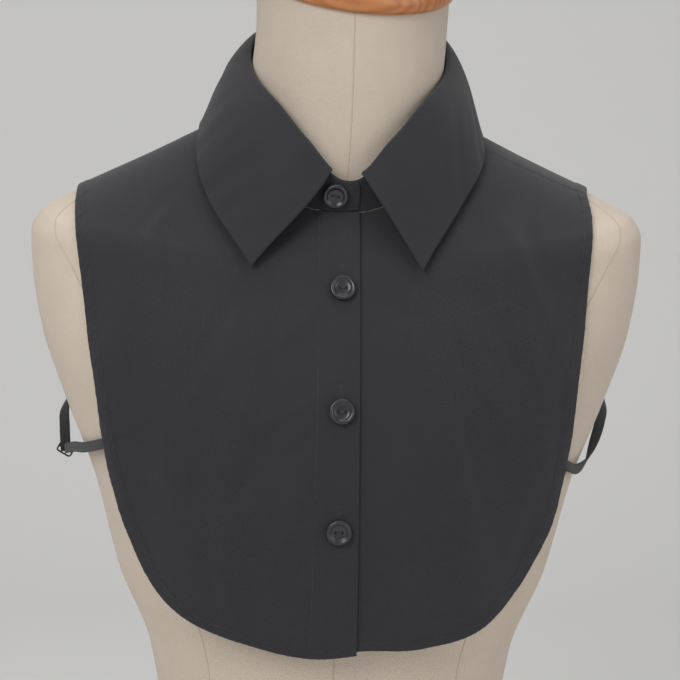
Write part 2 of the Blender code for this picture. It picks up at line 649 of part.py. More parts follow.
def ribbon(name, route, material):
    """A flat strap along a route of points and twists."""
    line = smooth_line(np.array(route) * (1, 1, 1, 0.0001), STRAP_STATIONS)
    points, twist = line[:, :3], np.radians(line[:, 3:] / 0.0001)
    along = unit(np.gradient(points, axis=0))
    upright = unit(np.array((0, 0, 1)) - along * along[:, 2:])
    flat = np.cross(along, upright)
    wide = (upright * np.cos(twist) + flat * np.sin(twist)) * STRAP_WIDTH / 2
    thick = (flat * np.cos(twist) - upright * np.sin(twist)) * STRAP_THICK / 2
    loops = np.stack((points + wide + thick, points - wide + thick, points - wide - thick,
                      points + wide - thick), axis=1)
    return rings(name, loops, material)


def strap_end(drape, place):
    """The two first points of a strap that is sewn under the bib's edge."""
    x, q = np.array(place) / 1000
    places = np.array(((x - math.copysign(0.004, x), q), (x + math.copysign(0.007, x), q)))
    height = stand_off(places[:, 0], places[:, 1]) - STRAP_TUCK - STRAP_THICK / 2
    return [(*point, 0) for point in lift(drape, places, height)]


def make_straps(drape):
    """The elastic side straps and the slider that joins the two on the wearer's right."""
    elastic = finish("black_elastic", (0.02, 0.02, 0.022), 0.7)
    ends = {name: strap_end(drape, place) for name, place in STRAP_ENDS.items()}
    routes = {name: list(route) for name, route in STRAP_ROUTES.items()}
    ribbon("strap_right_front", ends["right_front"] + routes["strap_right_front"], elastic)
    back_end = [(*point[:3], 0) for point in ends["right_back"][::-1]]
    ribbon("strap_right_back", routes["strap_right_back"] + back_end, elastic)
    left_end = [(*point[:3], 180) for point in ends["left_back"][::-1]]
    ribbon("strap_left", ends["left_front"] + routes["strap_left"] + left_end, elastic)

    black = finish("black_slider", (0.01, 0.01, 0.01), 0.4)
    frame = Matrix.Translation(SLIDER_PLACE) @ Matrix.Rotation(math.radians(SLIDER_TURN), 4, "Y")
    slider = solid("slider_right", *block(SLIDER_SIZE), black)
    slider.matrix_world = frame
    for side in (-1, 1):
        length, height = SLIDER_SLOT
        mesh = bpy.data.meshes.new("slot")
        mesh.from_pydata(*block((length, 0.01, height))[:1], [], block((length, 0.01, height))[1])
        shift = Matrix.Translation((0, 0, side * (height + SLIDER_BAR) / 2))
        cutter(f"slider_slot_{side}", mesh, frame @ shift, slider)


def block(size):
    """Vertices and faces of a box about its middle."""
    corners = [(x * size[0] / 2, y * size[1] / 2, z * size[2] / 2)
               for x in (-1, 1) for y in (-1, 1) for z in (-1, 1)]
    return corners, [(0, 1, 3, 2), (4, 6, 7, 5), (0, 4, 5, 1), (2, 3, 7, 6), (0, 2, 6, 4), (1, 5, 7, 3)]


def make_cap(form):
    """The turned wooden cap on the neck's sloping top."""
    wood = finish("honey_wood", (0.62, 0.30, 0.10), 0.35)
    rim = form.ring(form.last, np.linspace(0, 2 * math.pi, 40, endpoint=False))
    middle = rim.mean(axis=0)
    up = unit(np.cross(rim[0] - middle, rim[10] - middle))
    out = unit(rim - middle)
    loops = [rim + out * outset + up * rise for outset, rise in CAP_PROFILE]
    return rings("neck_cap", loops, wood)


def make_form(form):
    """The dress form's body: one smooth closed solid with a flat underside."""
    linen = finish("form_linen", (0.80, 0.72, 0.62), 0.85)
    turn = np.linspace(0, 2 * math.pi, 44, endpoint=False)
    levels = np.concatenate((np.arange(0, 9, 0.5), np.linspace(9, form.last, 25)))
    return rings("torso", [form.ring(level, turn) for level in levels], linen)


def main():
    """Build every piece."""
    for old in list(bpy.data.objects):
        bpy.data.objects.remove(old)
    drape = Drape()
    black = finish("black_poplin", (0.012, 0.012, 0.015), 0.8)
    form = Loft(FORM_SECTIONS)
    make_form(form)
    make_cap(form)
    make_fronts(drape, black)
    make_back(drape, black)
    make_stand(drape, black)
    make_leaf(drape, black)
    make_buttons(drape)
    make_straps(drape)


main()
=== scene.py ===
"""The looks of a detachable shirt collar in black poplin on a linen dress form.

Metres, +Z up, the front facing -Y. Cloth lies on a draped surface read in x, the place
across the body, and q, the length of cloth from the shoulder ridge, positive down the
front and negative down the back.
"""

import json
import logging
import math
from dataclasses import dataclass, field
from enum import Enum

import bmesh
import bpy
import numpy as np
from mathutils import Matrix, Vector

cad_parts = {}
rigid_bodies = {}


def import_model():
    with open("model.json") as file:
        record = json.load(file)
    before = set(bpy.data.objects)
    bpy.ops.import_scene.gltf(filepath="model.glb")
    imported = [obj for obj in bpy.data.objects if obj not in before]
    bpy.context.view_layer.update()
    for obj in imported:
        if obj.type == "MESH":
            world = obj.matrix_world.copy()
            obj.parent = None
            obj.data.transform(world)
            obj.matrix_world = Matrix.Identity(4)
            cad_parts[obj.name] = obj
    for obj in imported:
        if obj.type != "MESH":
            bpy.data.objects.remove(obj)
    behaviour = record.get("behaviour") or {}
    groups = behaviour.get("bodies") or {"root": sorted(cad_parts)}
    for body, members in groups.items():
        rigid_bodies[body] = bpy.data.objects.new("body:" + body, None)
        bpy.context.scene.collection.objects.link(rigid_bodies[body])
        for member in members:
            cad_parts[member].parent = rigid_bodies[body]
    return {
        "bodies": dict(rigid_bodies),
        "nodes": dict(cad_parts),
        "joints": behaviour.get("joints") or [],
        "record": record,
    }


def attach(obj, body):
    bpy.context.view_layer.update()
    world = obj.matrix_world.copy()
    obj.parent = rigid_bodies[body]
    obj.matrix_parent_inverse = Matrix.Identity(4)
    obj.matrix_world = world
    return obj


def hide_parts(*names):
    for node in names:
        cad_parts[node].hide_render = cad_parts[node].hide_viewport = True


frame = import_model()

# Driving dimensions
WALL = 0.0010            # thickness of a cloth piece
SEAM = 0.0004            # gap between two pieces that meet
REST = 0.0014            # gap from the form to the cloth that lies on it
LAP = WALL + 2 * SEAM    # how far the overlapping front stands off the under one
NECK_WIDTH = 0.0770      # half-width of the bib's neckline ring
SQUARE = 2.4             # mean squareness of the shoulder rings

# Rings of the dress form, from the base up. Each height is given at the side, the
# front and the back, each depth from the shoulder line. Swing is how a ring's height
# passes from side to front: 1 is a flat tilted ring, 2 a saddle. Lean is a shift to +X
# and nod one to +Y, and turn swings the ring's low side from the front towards +X, in degrees.
# The three eases are how far the cloth hangs off the form there.
SECTION_COLUMNS = ("side_z", "front_z", "back_z", "half_width", "front", "back", "square",
                   "swing", "lean", "nod", "turn", "side_ease", "front_ease", "back_ease")
FORM_SECTIONS = (
    # base, hip, high hip, waist, ribs
    (0.000, 0.000, 0.000, 0.150, 0.098, 0.104, 2.40, 2, 0, 0, 0, 0.020, 0.020, 0.020),
    (0.060, 0.060, 0.060, 0.158, 0.104, 0.116, 2.40, 2, 0, 0, 0, 0.020, 0.020, 0.020),
    (0.125, 0.125, 0.125, 0.142, 0.097, 0.104, 2.30, 2, 0, 0, 0, 0.020, 0.020, 0.020),
    (0.200, 0.200, 0.200, 0.1065, 0.086, 0.080, 2.20, 2, 0, 0, 0, 0.045, 0.030, 0.022),
    (0.265, 0.265, 0.265, 0.1145, 0.097, 0.088, 2.20, 2, 0, 0, 0, 0.0375, 0.021, 0.014),
    # under the bust, bust, armhole, chest, shoulder blades
    (0.318, 0.318, 0.318, 0.1350, 0.111, 0.096, 2.25, 2, 0, 0, 0, 0.018, 0.0105, 0.009),
    (0.378, 0.378, 0.378, 0.1505, 0.121, 0.103, 2.30, 2, 0, 0, 0, 0.005, 0.002, 0.005),
    (0.425, 0.425, 0.425, 0.1685, 0.118, 0.109, 2.35, 2, 0, 0, 0, 0.002, 0.001, 0.002),
    (0.470, 0.470, 0.470, 0.1835, 0.106, 0.112, 2.40, 2, 0, 0, 0, 0, 0, 0),
    (0.505, 0.498, 0.505, 0.1890, 0.0935, 0.1105, 2.45, 2, 0, 0, 0, 0, 0, 0),
    # shoulder end, its rounding, shoulder tip, mid shoulder, side of the neck
    (0.527, 0.512, 0.530, 0.1900, 0.0870, 0.1050, 2.45, 2, 0, 0, 0, 0, 0, 0),
    (0.5395, 0.5185, 0.542, 0.1845, 0.0835, 0.1010, 2.45, 2, 0, 0, 0, 0, 0, 0),
    (0.5490, 0.5245, 0.553, 0.1680, 0.0795, 0.0960, 2.40, 2, 0, 0, 0, 0, 0, 0),
    (0.5700, 0.5340, 0.574, 0.1235, 0.0725, 0.0835, 2.35, 2, 0, 0, 0, 0, 0, 0),
    (0.5900, 0.5420, 0.596, 0.0805, 0.0660, 0.0665, 2.20, 2, 0, 0, 0, 0, 0, 0),
    # foot of the neck, low neck, mid neck, top of the neck
    (0.6050, 0.5490, 0.6100, 0.0655, 0.0615, 0.0575, 2.10, 1.8, 0.002, 0, 0, 0, 0, 0),
    (0.6280, 0.5720, 0.6370, 0.0595, 0.0585, 0.0505, 2.05, 1.5, 0.005, 0, 4, 0, 0, 0),
    (0.6550, 0.6150, 0.6680, 0.0585, 0.0522, 0.0522, 2.00, 1.2, 0.007, -0.0058, 12, 0, 0, 0),
    (0.6815, 0.6630, 0.7000, 0.0595, 0.0530, 0.0530, 2.00, 1, 0.0075, -0.0065, 20, 0, 0, 0),
)
NECK_SIDE_ROW = 14
# The draped surface leaves the form at the side of the neck and closes over the
# neck hole, so that x and q run on without a break. No cloth lies on these rings.
CLOSING_SECTIONS = (
    (0.6000, 0.5560, 0.6040, 0.0550, 0.0560, 0.0550, 2.10, 2, 0, 0, 0, 0, 0, 0),
    (0.6050, 0.5800, 0.6070, 0.0280, 0.0350, 0.0350, 2.00, 2, 0, 0, 0, 0, 0, 0),
    (0.6070, 0.6070, 0.6070, 0.0, 0.0, 0.0, 2.00, 2, 0, 0, 0, 0, 0, 0),
)


class Loft:
    """A smooth body through the rings of a section table."""

    def __init__(self, rows: tuple, eased: bool = False) -> None:
        """Reads the table, with the cloth's ease added if it is asked for."""
        values = np.array(rows, dtype=float)
        self.columns = {name: values[:, i] for i, name in enumerate(SECTION_COLUMNS)}
        if eased:
            for size, ease in (("half_width", "side_ease"), ("front", "front_ease"), ("back", "back_ease")):
                self.columns[size] = self.columns[size] + self.columns[ease]
        self.last = len(rows) - 1
        self.slopes = {name: self.monotone_slopes(v) for name, v in self.columns.items()}

    @staticmethod
    def monotone_slopes(values: np.ndarray) -> np.ndarray:
        """Slopes at evenly spaced values that never overshoot them."""
        steps = np.diff(values)
        before, after = steps[:-1], steps[1:]
        same_way = before * after > 0
        total = np.where(same_way, before + after, 1.0)
        inner = np.where(same_way, 2 * before * after / total, 0.0)
        return np.concatenate(([steps[0]], inner, [steps[-1]]))

    def read(self, name: str, t: np.ndarray) -> np.ndarray:
        """A column's smooth value at t, where whole numbers are the table's rows."""
        t = np.clip(t, 0, self.last)
        row = np.minimum(t.astype(int), self.last - 1)
        u = t - row
        v, m = self.columns[name], self.slopes[name]
        rise = v[row + 1] - v[row]
        bend = m[row] + m[row + 1] - 2 * rise
        return v[row] + u * (m[row] + u * (3 * rise - 2 * m[row] - m[row + 1] + u * bend))

    def heights(self, t: np.ndarray, ahead: np.ndarray, deep: np.ndarray) -> np.ndarray:
        """Height on ring t, where deep runs from 0 at the side to 1 at the front or back."""
        side = self.read("side_z", t)
        end = np.where(ahead, self.read("front_z", t), self.read("back_z", t))
        return side + (end - side) * deep ** self.read("swing", t)

    def ring(self, t: float, angle: np.ndarray) -> np.ndarray:
        """Points on ring t at angles from the front (0), by +X, to the back (pi)."""
        t, angle = np.broadcast_arrays(np.asarray(t, float), np.asarray(angle, float))
        power = 2 / self.read("square", t)
        across = np.abs(np.sin(angle)) ** power
        deep = np.abs(np.cos(angle)) ** power
        ahead = np.cos(angle) > 0
        x = np.sign(np.sin(angle)) * across * self.read("half_width", t)
        y = np.where(ahead, -self.read("front", t), self.read("back", t)) * deep
        turned = np.cos(angle - np.radians(self.read("turn", t)))
        z = self.heights(t, turned > 0, np.abs(turned) ** power)
        return np.stack((x + self.read("lean", t), y + self.read("nod", t), z), axis=-1)


class Drape(Loft):
    """The surface that the cloth lies on, read at x across and q along the cloth."""

    LOWEST = 3.0         # ring, counted from the base, that no hem reaches
    WIDEST = 10.0        # the shoulder end, the widest ring
    STEPS = 160          # samples along one length of cloth

    def __init__(self) -> None:
        """Reads the eased table and finds the neckline's ring."""
        super().__init__(FORM_SECTIONS[:NECK_SIDE_ROW + 1] + CLOSING_SECTIONS, eased=True)
        self.neckline = float(self.ridge(np.array([NECK_WIDTH]))[0])

    def ridge(self, x: np.ndarray) -> np.ndarray:
        """Ring whose side lies at x: the top of the shoulder there."""
        low, high = np.full(x.shape, self.WIDEST), np.full(x.shape, float(self.last))
        for _ in range(45):
            middle = (low + high) / 2
            wide = self.read("half_width", middle) > np.abs(x)
            low, high = np.where(wide, middle, low), np.where(wide, high, middle)
        return low

    def slice(self, x: np.ndarray, t: np.ndarray, ahead: np.ndarray) -> np.ndarray:
        """Point at x on ring t, in front of the ridge or behind it."""
        across = np.clip(np.abs(x) / np.maximum(self.read("half_width", t), 1e-9), 0, 1)
        square = self.read("square", t)
        deep = (1 - across ** square) ** (1 / square)
        y = np.where(ahead, -self.read("front", t), self.read("back", t)) * deep
        return np.stack((x + 0 * t, y, self.heights(t, ahead, deep)), axis=-1)

    def lengths(self, x: np.ndarray, ahead: np.ndarray) -> tuple[np.ndarray, np.ndarray]:
        """Rings down one length of cloth at each x, and the length to each."""
        top = self.ridge(x)[:, None]
        down = np.linspace(0, 1, self.STEPS)[None, :] ** SQUARE
        t = top - (top - self.LOWEST) * down
        points = self.slice(x[:, None], t, ahead[:, None])
        steps = np.linalg.norm(np.diff(points, axis=1), axis=2)
        return t, np.concatenate((np.zeros((len(x), 1)), np.cumsum(steps, axis=1)), axis=1)

    def surface(self, x: np.ndarray, q: np.ndarray) -> np.ndarray:
        """Points at places (x, q)."""
        x, q = np.broadcast_arrays(np.asarray(x, float), np.asarray(q, float))
        shape = x.shape
        x, q = x.ravel(), q.ravel()
        t, length = self.lengths(x, q >= 0)
        row = np.arange(len(x))
        step = np.clip((length < np.abs(q)[:, None]).sum(axis=1) - 1, 0, self.STEPS - 2)
        share = (np.abs(q) - length[row, step]) / (length[row, step + 1] - length[row, step])
        even = (step + share) / (self.STEPS - 1)
        top = t[:, 0]
        t = top - (top - self.LOWEST) * np.clip(even, 0, 1) ** SQUARE
        return self.slice(x, t, q >= 0).reshape(shape + (3,))

    def place(self, t: float, angles: np.ndarray) -> np.ndarray:
        """Places (x, q) of points on ring t at a row of angles."""
        x = self.ring(t, angles)[:, 0]
        ahead = np.cos(angles) > 0
        rings, length = self.lengths(x, ahead)
        q = np.array([np.interp(-t, -r, n) for r, n in zip(rings, length)])
        return np.stack((x, np.where(ahead, q, -q)), axis=-1)

    def normal(self, x: np.ndarray, q: np.ndarray) -> np.ndarray:
        """Outward unit normals at places (x, q)."""
        step = 0.0006
        along_x = self.surface(x + step, q) - self.surface(x - step, q)
        along_q = self.surface(x, q + step) - self.surface(x, q - step)
        normal = np.cross(along_q, along_x)
        return normal / np.linalg.norm(normal, axis=-1, keepdims=True)


# Outlines of the bib, in millimetres of x and q, from the shoulder down to the hem.
# x is negative on the wearer's right. A front's rows end at its centre-front edge.
RIGHT_ARMHOLE = ((-161, -16), (-160, 12), (-159, 46), (-154.5, 80), (-147.5, 126), (-139.5, 163),
                 (-135, 194), (-130.5, 222))
RIGHT_HEM = ((-130.5, 222), (-122, 260), (-106, 301), (-80, 332), (-46, 354), (-18, 361.5), (12.5, 359.5))
LEFT_ARMHOLE = ((152.5, 22), (153.5, 50), (150, 85), (146, 122), (139.5, 160), (136.5, 190), (133, 216))
LEFT_HEM = ((133, 216), (124.5, 257), (106, 302), (80, 336), (48, 354), (12, 357.5), (-12.5, 357.5))
BACK_RIGHT_ARMHOLE = ((-161, -16), (-160.5, -50), (-154, -95), (-143, -140), (-137, -185), (-131, -222))
BACK_LEFT_ARMHOLE = ((152.5, 22), (155, 0), (157, -40), (153, -90), (143, -140), (137, -185), (131, -222))
BACK_HEM = ((-131, -222), (-112, -268), (-78, -303), (-40, -319), (0, -323), (40, -319), (78, -303),
            (112, -268), (131, -222))

# Angles on the neckline ring, in degrees from the centre front, of the shoulder seams.
# The bib hangs a little turned: its left seam lies forward of the ridge, its right one behind.
RIGHT_SEAM_ANGLE = -96.0
LEFT_SEAM_ANGLE = -287.0

# Soft folds that stand off the body: start and end in millimetres of x and q, then
# half-width and height.
FOLD_COLUMNS = ("x_1", "q_1", "x_2", "q_2", "half_width", "height")
FOLDS = (
    (-112, 60, -86, 330, 13, 2.6),
    (-70, 150, -58, 345, 12, 2.0),
    (-138, 90, -126, 240, 9, 1.6),
    (52, 140, 84, 330, 13, 2.6),
    (100, 60, 122, 250, 12, 2.0),
    (30, 200, 40, 350, 11, 1.6),
    (-80, -110, -60, -310, 15, 2.4),
    (30, -120, 42, -315, 14, 2.2),
    (105, -90, 108, -270, 13, 2.0),
)
NECK_REACH = 0.085           # from the shoulder ridge to the neckline, along the cloth
NECK_EASE = 0.0008           # how far the neckline stands off the foot of the neck
FLARE = 0.0045               # how far the armhole edges stand off below the shoulder

# The collar's roll line: angle from the centre front, in degrees, and height.
ROLL_LINE = ((0, 0.5650), (25, 0.5875), (46, 0.6080), (75, 0.6255), (113, 0.6480), (180, 0.6560))
ROLL_HALF_WIDTH = 0.0612
ROLL_FRONT = 0.0715
ROLL_BACK = 0.0530
ROLL_LEAN = 0.0055           # the neck, and so the collar, leans to the wearer's left
ROLL_RADIUS = 0.0016         # of the fold along the roll line
ROLL_GAP = 0.0009            # from the stand's top edge to the leaf's
LEAF_BULGE = 0.0020          # how far the leaf's fall is rounded out

LEAF_ENDS = (-10.0, -352.5)  # angles of the leaf's front ends on the roll line
# The leaf's lower edge: angle on the roll line, place in millimetres of x and q, and
# how far it stands off the bib.
LEAF_EDGE = (
    (LEAF_ENDS[0], -52, 127, 4.0),
    (-26, -66, 101, 4.0),
    (-44, -77, 76, 3.5),
    (-64, -84, 48, 3.0),
    (-84, -84.5, 22, 2.5),
    (-106, -80, -8, 2.5),
    (-130, -65, -46, 2.5),
    (-155, -36, -74, 2.5),
    (-180, 0, -82, 2.5),
    (-205, 36, -74, 2.5),
    (-230, 65, -46, 2.5),
    (-254, 81, -8, 2.5),
    (-274, 86.5, 22, 2.5),
    (-294, 85, 45, 3.0),
    (-314, 76, 70, 3.5),
    (-334, 63, 100, 4.0),
    (LEAF_ENDS[1], 48.5, 129, 4.0),
)

# The stand's two ends lie over each other at the centre front. Angles on the neckline
# and on the roll line, in degrees, of the end on top, and of the end beneath it.
STAND_TOP_END = (7.5, 5.6)
STAND_UNDER_END = (-367.5, -377.0)
STAND_GAP = 0.055            # rings between the bib's edge and the stand's
ROLL_TURNS = (0, 45, 95, 140)  # degrees round the roll

# Buttons: place in millimetres of x and q. The first sits on the stand instead,
# at this angle on the roll line and this share of its height.
BUTTON_PLACES = ((1.9, 141.6), (1.8, 214.5), (1.0, 283.9))
STAND_BUTTON = (-5.2, 0.50)
BUTTON_RADIUS = 0.0076
BUTTON_REST = 0.0006         # gap under a button
# Turned profile, as shares of the radius and heights: foot, edge, rim, dish, floor.
BUTTON_PROFILE = ((0.84, 0), (0.97, 0.0006), (1.0, 0.0014), (0.96, 0.0025), (0.86, 0.0030),
                  (0.72, 0.0027), (0.58, 0.0018), (0.42, 0.0015))
BUTTON_HOLE = 0.0009
BUTTON_HOLE_STEP = 0.0017    # from the button's centre to each hole's

# The straps: points in metres and the ribbon's twist about its run, in degrees, where
# 0 holds its width upright.
STRAP_WIDTH = 0.0065
STRAP_THICK = 0.0010
STRAP_TUCK = 0.0013          # gap between a strap's end and the bib over it
STRAP_ENDS = {                # place in millimetres where each end lies under the bib
    "right_front": (-127, 199), "right_back": (-131, -172),
    "left_front": (128, 211), "left_back": (131, -172),
}
STRAP_ROUTES = {
    "strap_right_front": ((-0.1530, -0.0500, 0.3985, 0), (-0.1615, -0.0270, 0.3945, 0),
                          (-0.1690, -0.0049, 0.3892, 0)),
    "strap_right_back": ((-0.1690, -0.0009, 0.3868, 90), (-0.1705, 0.0080, 0.3990, 88),
                         (-0.1715, 0.0240, 0.4110, 60), (-0.1640, 0.0500, 0.4240, 25)),
    "strap_left": ((0.1480, -0.0560, 0.3895, 0), (0.1560, -0.0400, 0.3920, 30),
                   (0.1625, -0.0220, 0.4000, 75), (0.1690, -0.0020, 0.4110, 120),
                   (0.1735, 0.0170, 0.4200, 165), (0.1690, 0.0430, 0.4270, 180)),
}
SLIDER_PLACE = (-0.1690, -0.0030, 0.3885)
SLIDER_TURN = 30             # degrees about Y
SLIDER_SIZE = (0.0105, 0.0012, 0.0076)

# The wooden cap: how far each ring stands outside the neck's top, and its height.
CAP_PROFILE = ((0.0010, 0.0004), (0.0024, 0.0010), (0.0032, 0.0034), (0.0030, 0.0075), (0.0008, 0.0112),
               (-0.0080, 0.0150), (-0.0230, 0.0190), (-0.0400, 0.0212))


def smooth_line(points: np.ndarray, count: int) -> np.ndarray:
    """Evenly spaced points along a Catmull-Rom curve through hand-set ones."""
    points = np.asarray(points, float)
    ends = np.vstack((2 * points[0] - points[1], points, 2 * points[-1] - points[-2]))
    dense = []
    for i in range(1, len(ends) - 2):
        before, start, end, after = ends[i - 1:i + 3]
        reach = np.linalg.norm(end - start)
        leave = (end - before) / max(np.linalg.norm(end - before), 1e-9) * reach
        arrive = (after - start) / max(np.linalg.norm(after - start), 1e-9) * reach
        u = np.linspace(0, 1, 24, endpoint=False)[:, None]
        dense.append((2 * u ** 3 - 3 * u ** 2 + 1) * start + (u ** 3 - 2 * u ** 2 + u) * leave
                     + (3 * u ** 2 - 2 * u ** 3) * end + (u ** 3 - u ** 2) * arrive)
    dense.append(points[-1:])
    return spread(np.vstack(dense), count)


def spread(points: np.ndarray, count: int) -> np.ndarray:
    """The same line with evenly spaced points."""
    steps = np.linalg.norm(np.diff(points, axis=0), axis=1)
    length = np.concatenate(([0], np.cumsum(steps)))
    even = np.linspace(0, length[-1], count)
    return np.stack([np.interp(even, length, column) for column in points.T], axis=-1)


def step(low: float, high: float, value: np.ndarray) -> np.ndarray:
    """Smooth step from 0 at low to 1 at high."""
    u = np.clip((value - low) / (high - low), 0, 1)
    return u * u * (3 - 2 * u)


def fold_height(x: np.ndarray, q: np.ndarray) -> np.ndarray:
    """Height of the soft folds at places (x, q)."""
    total = np.zeros(np.broadcast(x, q).shape)
    for x_1, q_1, x_2, q_2, half_width, height in np.array(FOLDS) / 1000:
        run_x, run_q = x_2 - x_1, q_2 - q_1
        length = math.hypot(run_x, run_q)
        along = ((x - x_1) * run_x + (q - q_1) * run_q) / length ** 2
        aside = ((x - x_1) * run_q - (q - q_1) * run_x) / length
        ends = step(-0.05, 0.35, along) * step(1.25, 0.8, along)
        total = total + height * ends * np.exp(-(aside / half_width) ** 2)
    return total


def stand_off(x: np.ndarray, q: np.ndarray) -> np.ndarray:
    """Gap from the draped surface to a panel's inner face."""
    flare = FLARE * step(0.105, 0.140, np.abs(x)) * step(0.10, 0.17, np.abs(q))
    from_neck = np.hypot(x / NECK_WIDTH, q / NECK_REACH)
    return REST + flare + NECK_EASE * step(1.5, 1.0, from_neck) + fold_height(x, q)


def lap_share(x: np.ndarray) -> np.ndarray:
    """How much of the lap's height the wearer's right layers have at x."""
    return step(-0.048, -0.021, x)


def lift(drape: Drape, places: np.ndarray, height: np.ndarray) -> np.ndarray:
    """Points over places (x, q), a given height above the draped surface."""
    x, q = places[..., 0], places[..., 1]
    return drape.surface(x, q) + drape.normal(x, q) * np.asarray(height)[..., None]


def roll_point(angles: np.ndarray) -> np.ndarray:
    """Points of the roll line at angles in degrees from the centre front."""
    turn = np.radians(angles)
    around = np.abs((np.asarray(angles, float) + 180) % 360 - 180)
    mirrored = [(-a, z) for a, z in ROLL_LINE[:0:-1]] + list(ROLL_LINE)
    dense = smooth_line(np.array(mirrored) * (0.001, 1), 240)
    y = np.where(np.cos(turn) > 0, -ROLL_FRONT, -ROLL_BACK) * np.cos(turn)
    x = ROLL_LEAN + ROLL_HALF_WIDTH * np.sin(turn)
    return np.stack((x, y, np.interp(around * 0.001, dense[:, 0], dense[:, 1])), axis=-1)


def unit(vectors: np.ndarray) -> np.ndarray:
    """The same directions at length 1."""
    return vectors / np.linalg.norm(vectors, axis=-1, keepdims=True)


def grid_normals(grid: np.ndarray) -> np.ndarray:
    """Unit normals of a grid of points, on the side where rows turn from columns."""
    along = np.gradient(grid, axis=1)
    down = np.gradient(grid, axis=0)
    return unit(np.cross(along, down))


def outward(angles: np.ndarray) -> np.ndarray:
    """Level directions away from the neck along the roll line."""
    turn = np.radians(angles)
    depth = np.where(np.cos(turn) > 0, ROLL_FRONT, ROLL_BACK)
    level = np.stack((np.sin(turn) / ROLL_HALF_WIDTH, -np.cos(turn) / depth, 0 * turn), axis=-1)
    return unit(level)


def neck_angles(roll_angles: np.ndarray) -> np.ndarray:
    """Angles on the neckline below angles on the roll line."""
    share = (roll_angles - STAND_TOP_END[1]) / (STAND_UNDER_END[1] - STAND_TOP_END[1])
    return STAND_TOP_END[0] + (STAND_UNDER_END[0] - STAND_TOP_END[0]) * share


def stand_edges(drape: Drape, roll_angles: np.ndarray) -> tuple[np.ndarray, np.ndarray]:
    """The stand's lower and upper edges below and on the roll line."""
    turn = np.radians(neck_angles(roll_angles))
    edge = drape.place(drape.neckline + STAND_GAP, turn)
    over = LAP * lap_share(edge[:, 0]) * (roll_angles > -90)
    height = stand_off(edge[:, 0], edge[:, 1]) + WALL / 2 + over
    upper = roll_point(roll_angles) + outward(roll_angles) * over[:, None]
    return lift(drape, edge, height), upper


def facing(point: np.ndarray, normal: np.ndarray, up: np.ndarray) -> Matrix:
    """A matrix that puts a piece at a point with +Z along normal and +Y near up."""
    z = Vector(normal).normalized()
    x = Vector(up).cross(z).normalized()
    turn = Matrix((x, z.cross(x), z)).transposed().to_4x4()
    return Matrix.Translation(Vector(point)) @ turn


def fill(top: np.ndarray, bottom: np.ndarray, first: np.ndarray, last: np.ndarray,
         across: np.ndarray, down: np.ndarray) -> np.ndarray:
    """Grid of places between four edges: a Coons patch, rows from top to bottom.

    Args:
        top: Places along the top edge, one for each column.
        bottom: Places along the bottom edge.
        first: Places down the edge where rows start, one for each row.
        last: Places down the edge where rows end.
        across: Each column's share of the width.
        down: Each row's share of the length.

    Returns:
        The grid, rows by columns by 2.
    """
    u, v = across[None, :, None], down[:, None, None]
    sides = (1 - u) * first[:, None] + u * last[:, None]
    ends = (1 - v) * top[None] + v * bottom[None]
    corners = (1 - v) * ((1 - u) * top[0] + u * top[-1]) + v * ((1 - u) * bottom[0] + u * bottom[-1])
    return sides + ends - corners



# ---------------------------------------------------------------- looks on the cloth's surface

CLOTH = 0.0007               # poplin, drawn a little thicker than one layer
HEM_WIDTH = 0.0058           # of the double-folded hem
HEM_RISE = 0.00055           # how far the folded layers stand proud
PLACKET_WIDTH = 0.0250
EDGE_STEPS = (0.1, 0.3, 0.7, 1.2, 4.3, 4.9, 5.4, 5.9, 6.5)  # millimetres from an edge that rows follow
# Small creases: start and end in millimetres of x and q, half-width and height, a
# trough where it is negative. They are given one by one, and no two are alike.
CREASES = (
    (-78, 18, -112, 74, 6, -1.5), (-90, 30, -118, 95, 5, 1.0), (-104, 60, -100, 150, 5, -0.9),
    (-118, 70, -113, 176, 4.5, 0.9), (-128, 96, -121, 190, 4, -0.7), (-92, 110, -84, 215, 6, 0.8),
    (-60, 134, -92, 188, 6, -0.8), (-44, 140, -66, 250, 7, 0.9), (-30, 205, -58, 262, 5, -0.6),
    (-14, 152, -40, 178, 4, 0.5), (-8, 205, -44, 222, 3.4, 0.6), (-7, 214, -34, 246, 3.2, -0.5),
    (-6, 276, -38, 292, 3.4, 0.6), (-6, 284, -30, 318, 3.4, -0.5), (-26, 334, 10, 330, 6, -1.3),
    (-30, 349, -6, 353, 5, 1.3), (-74, 268, -60, 338, 7, 0.8), (-106, 236, -88, 316, 6, -0.7),
    (58, 132, 108, 236, 7, 1.1), (46, 150, 86, 262, 6, -0.8), (66, 118, 124, 196, 6, -0.8),
    (92, 70, 132, 150, 6, 0.9), (112, 58, 118, 140, 5, -0.7), (20, 160, 52, 232, 5, 0.6),
    (26, 232, 46, 322, 6, 0.7), (84, 276, 66, 338, 6, -0.7), (18, 148, 44, 160, 3, -0.4),
    (18, 292, 40, 300, 3, 0.4), (112, 210, 98, 292, 5, 0.7), (134, 190, 112, 205, 3.5, 0.9),
    (-136, 186, -112, 199, 3.4, 0.9), (-134, 196, -108, 208, 3.0, -0.8),
    (-88, -60, -50, -190, 9, 1.2), (-34, -96, -26, -240, 8, -0.9), (12, -94, 18, -210, 7, 0.9),
    (62, -58, 84, -176, 9, -1.0), (96, -40, 120, -140, 8, 1.0), (-120, -70, -112, -190, 7, -0.9),
    (-56, -236, -44, -308, 7, 0.9), (34, -250, 28, -314, 7, -0.8), (84, -210, 74, -292, 8, 0.9),
    (-6, -232, -10, -312, 6, 0.7), (-126, -178, -100, -184, 4, 0.8), (126, -178, 98, -186, 4, 0.8),
)
LOG = logging.getLogger("shirt_collar")
SMOOTH = 40.0                # degrees past which an edge looks sharp


class Side(Enum):
    """The wearer's two sides."""

    RIGHT = -1
    LEFT = 1


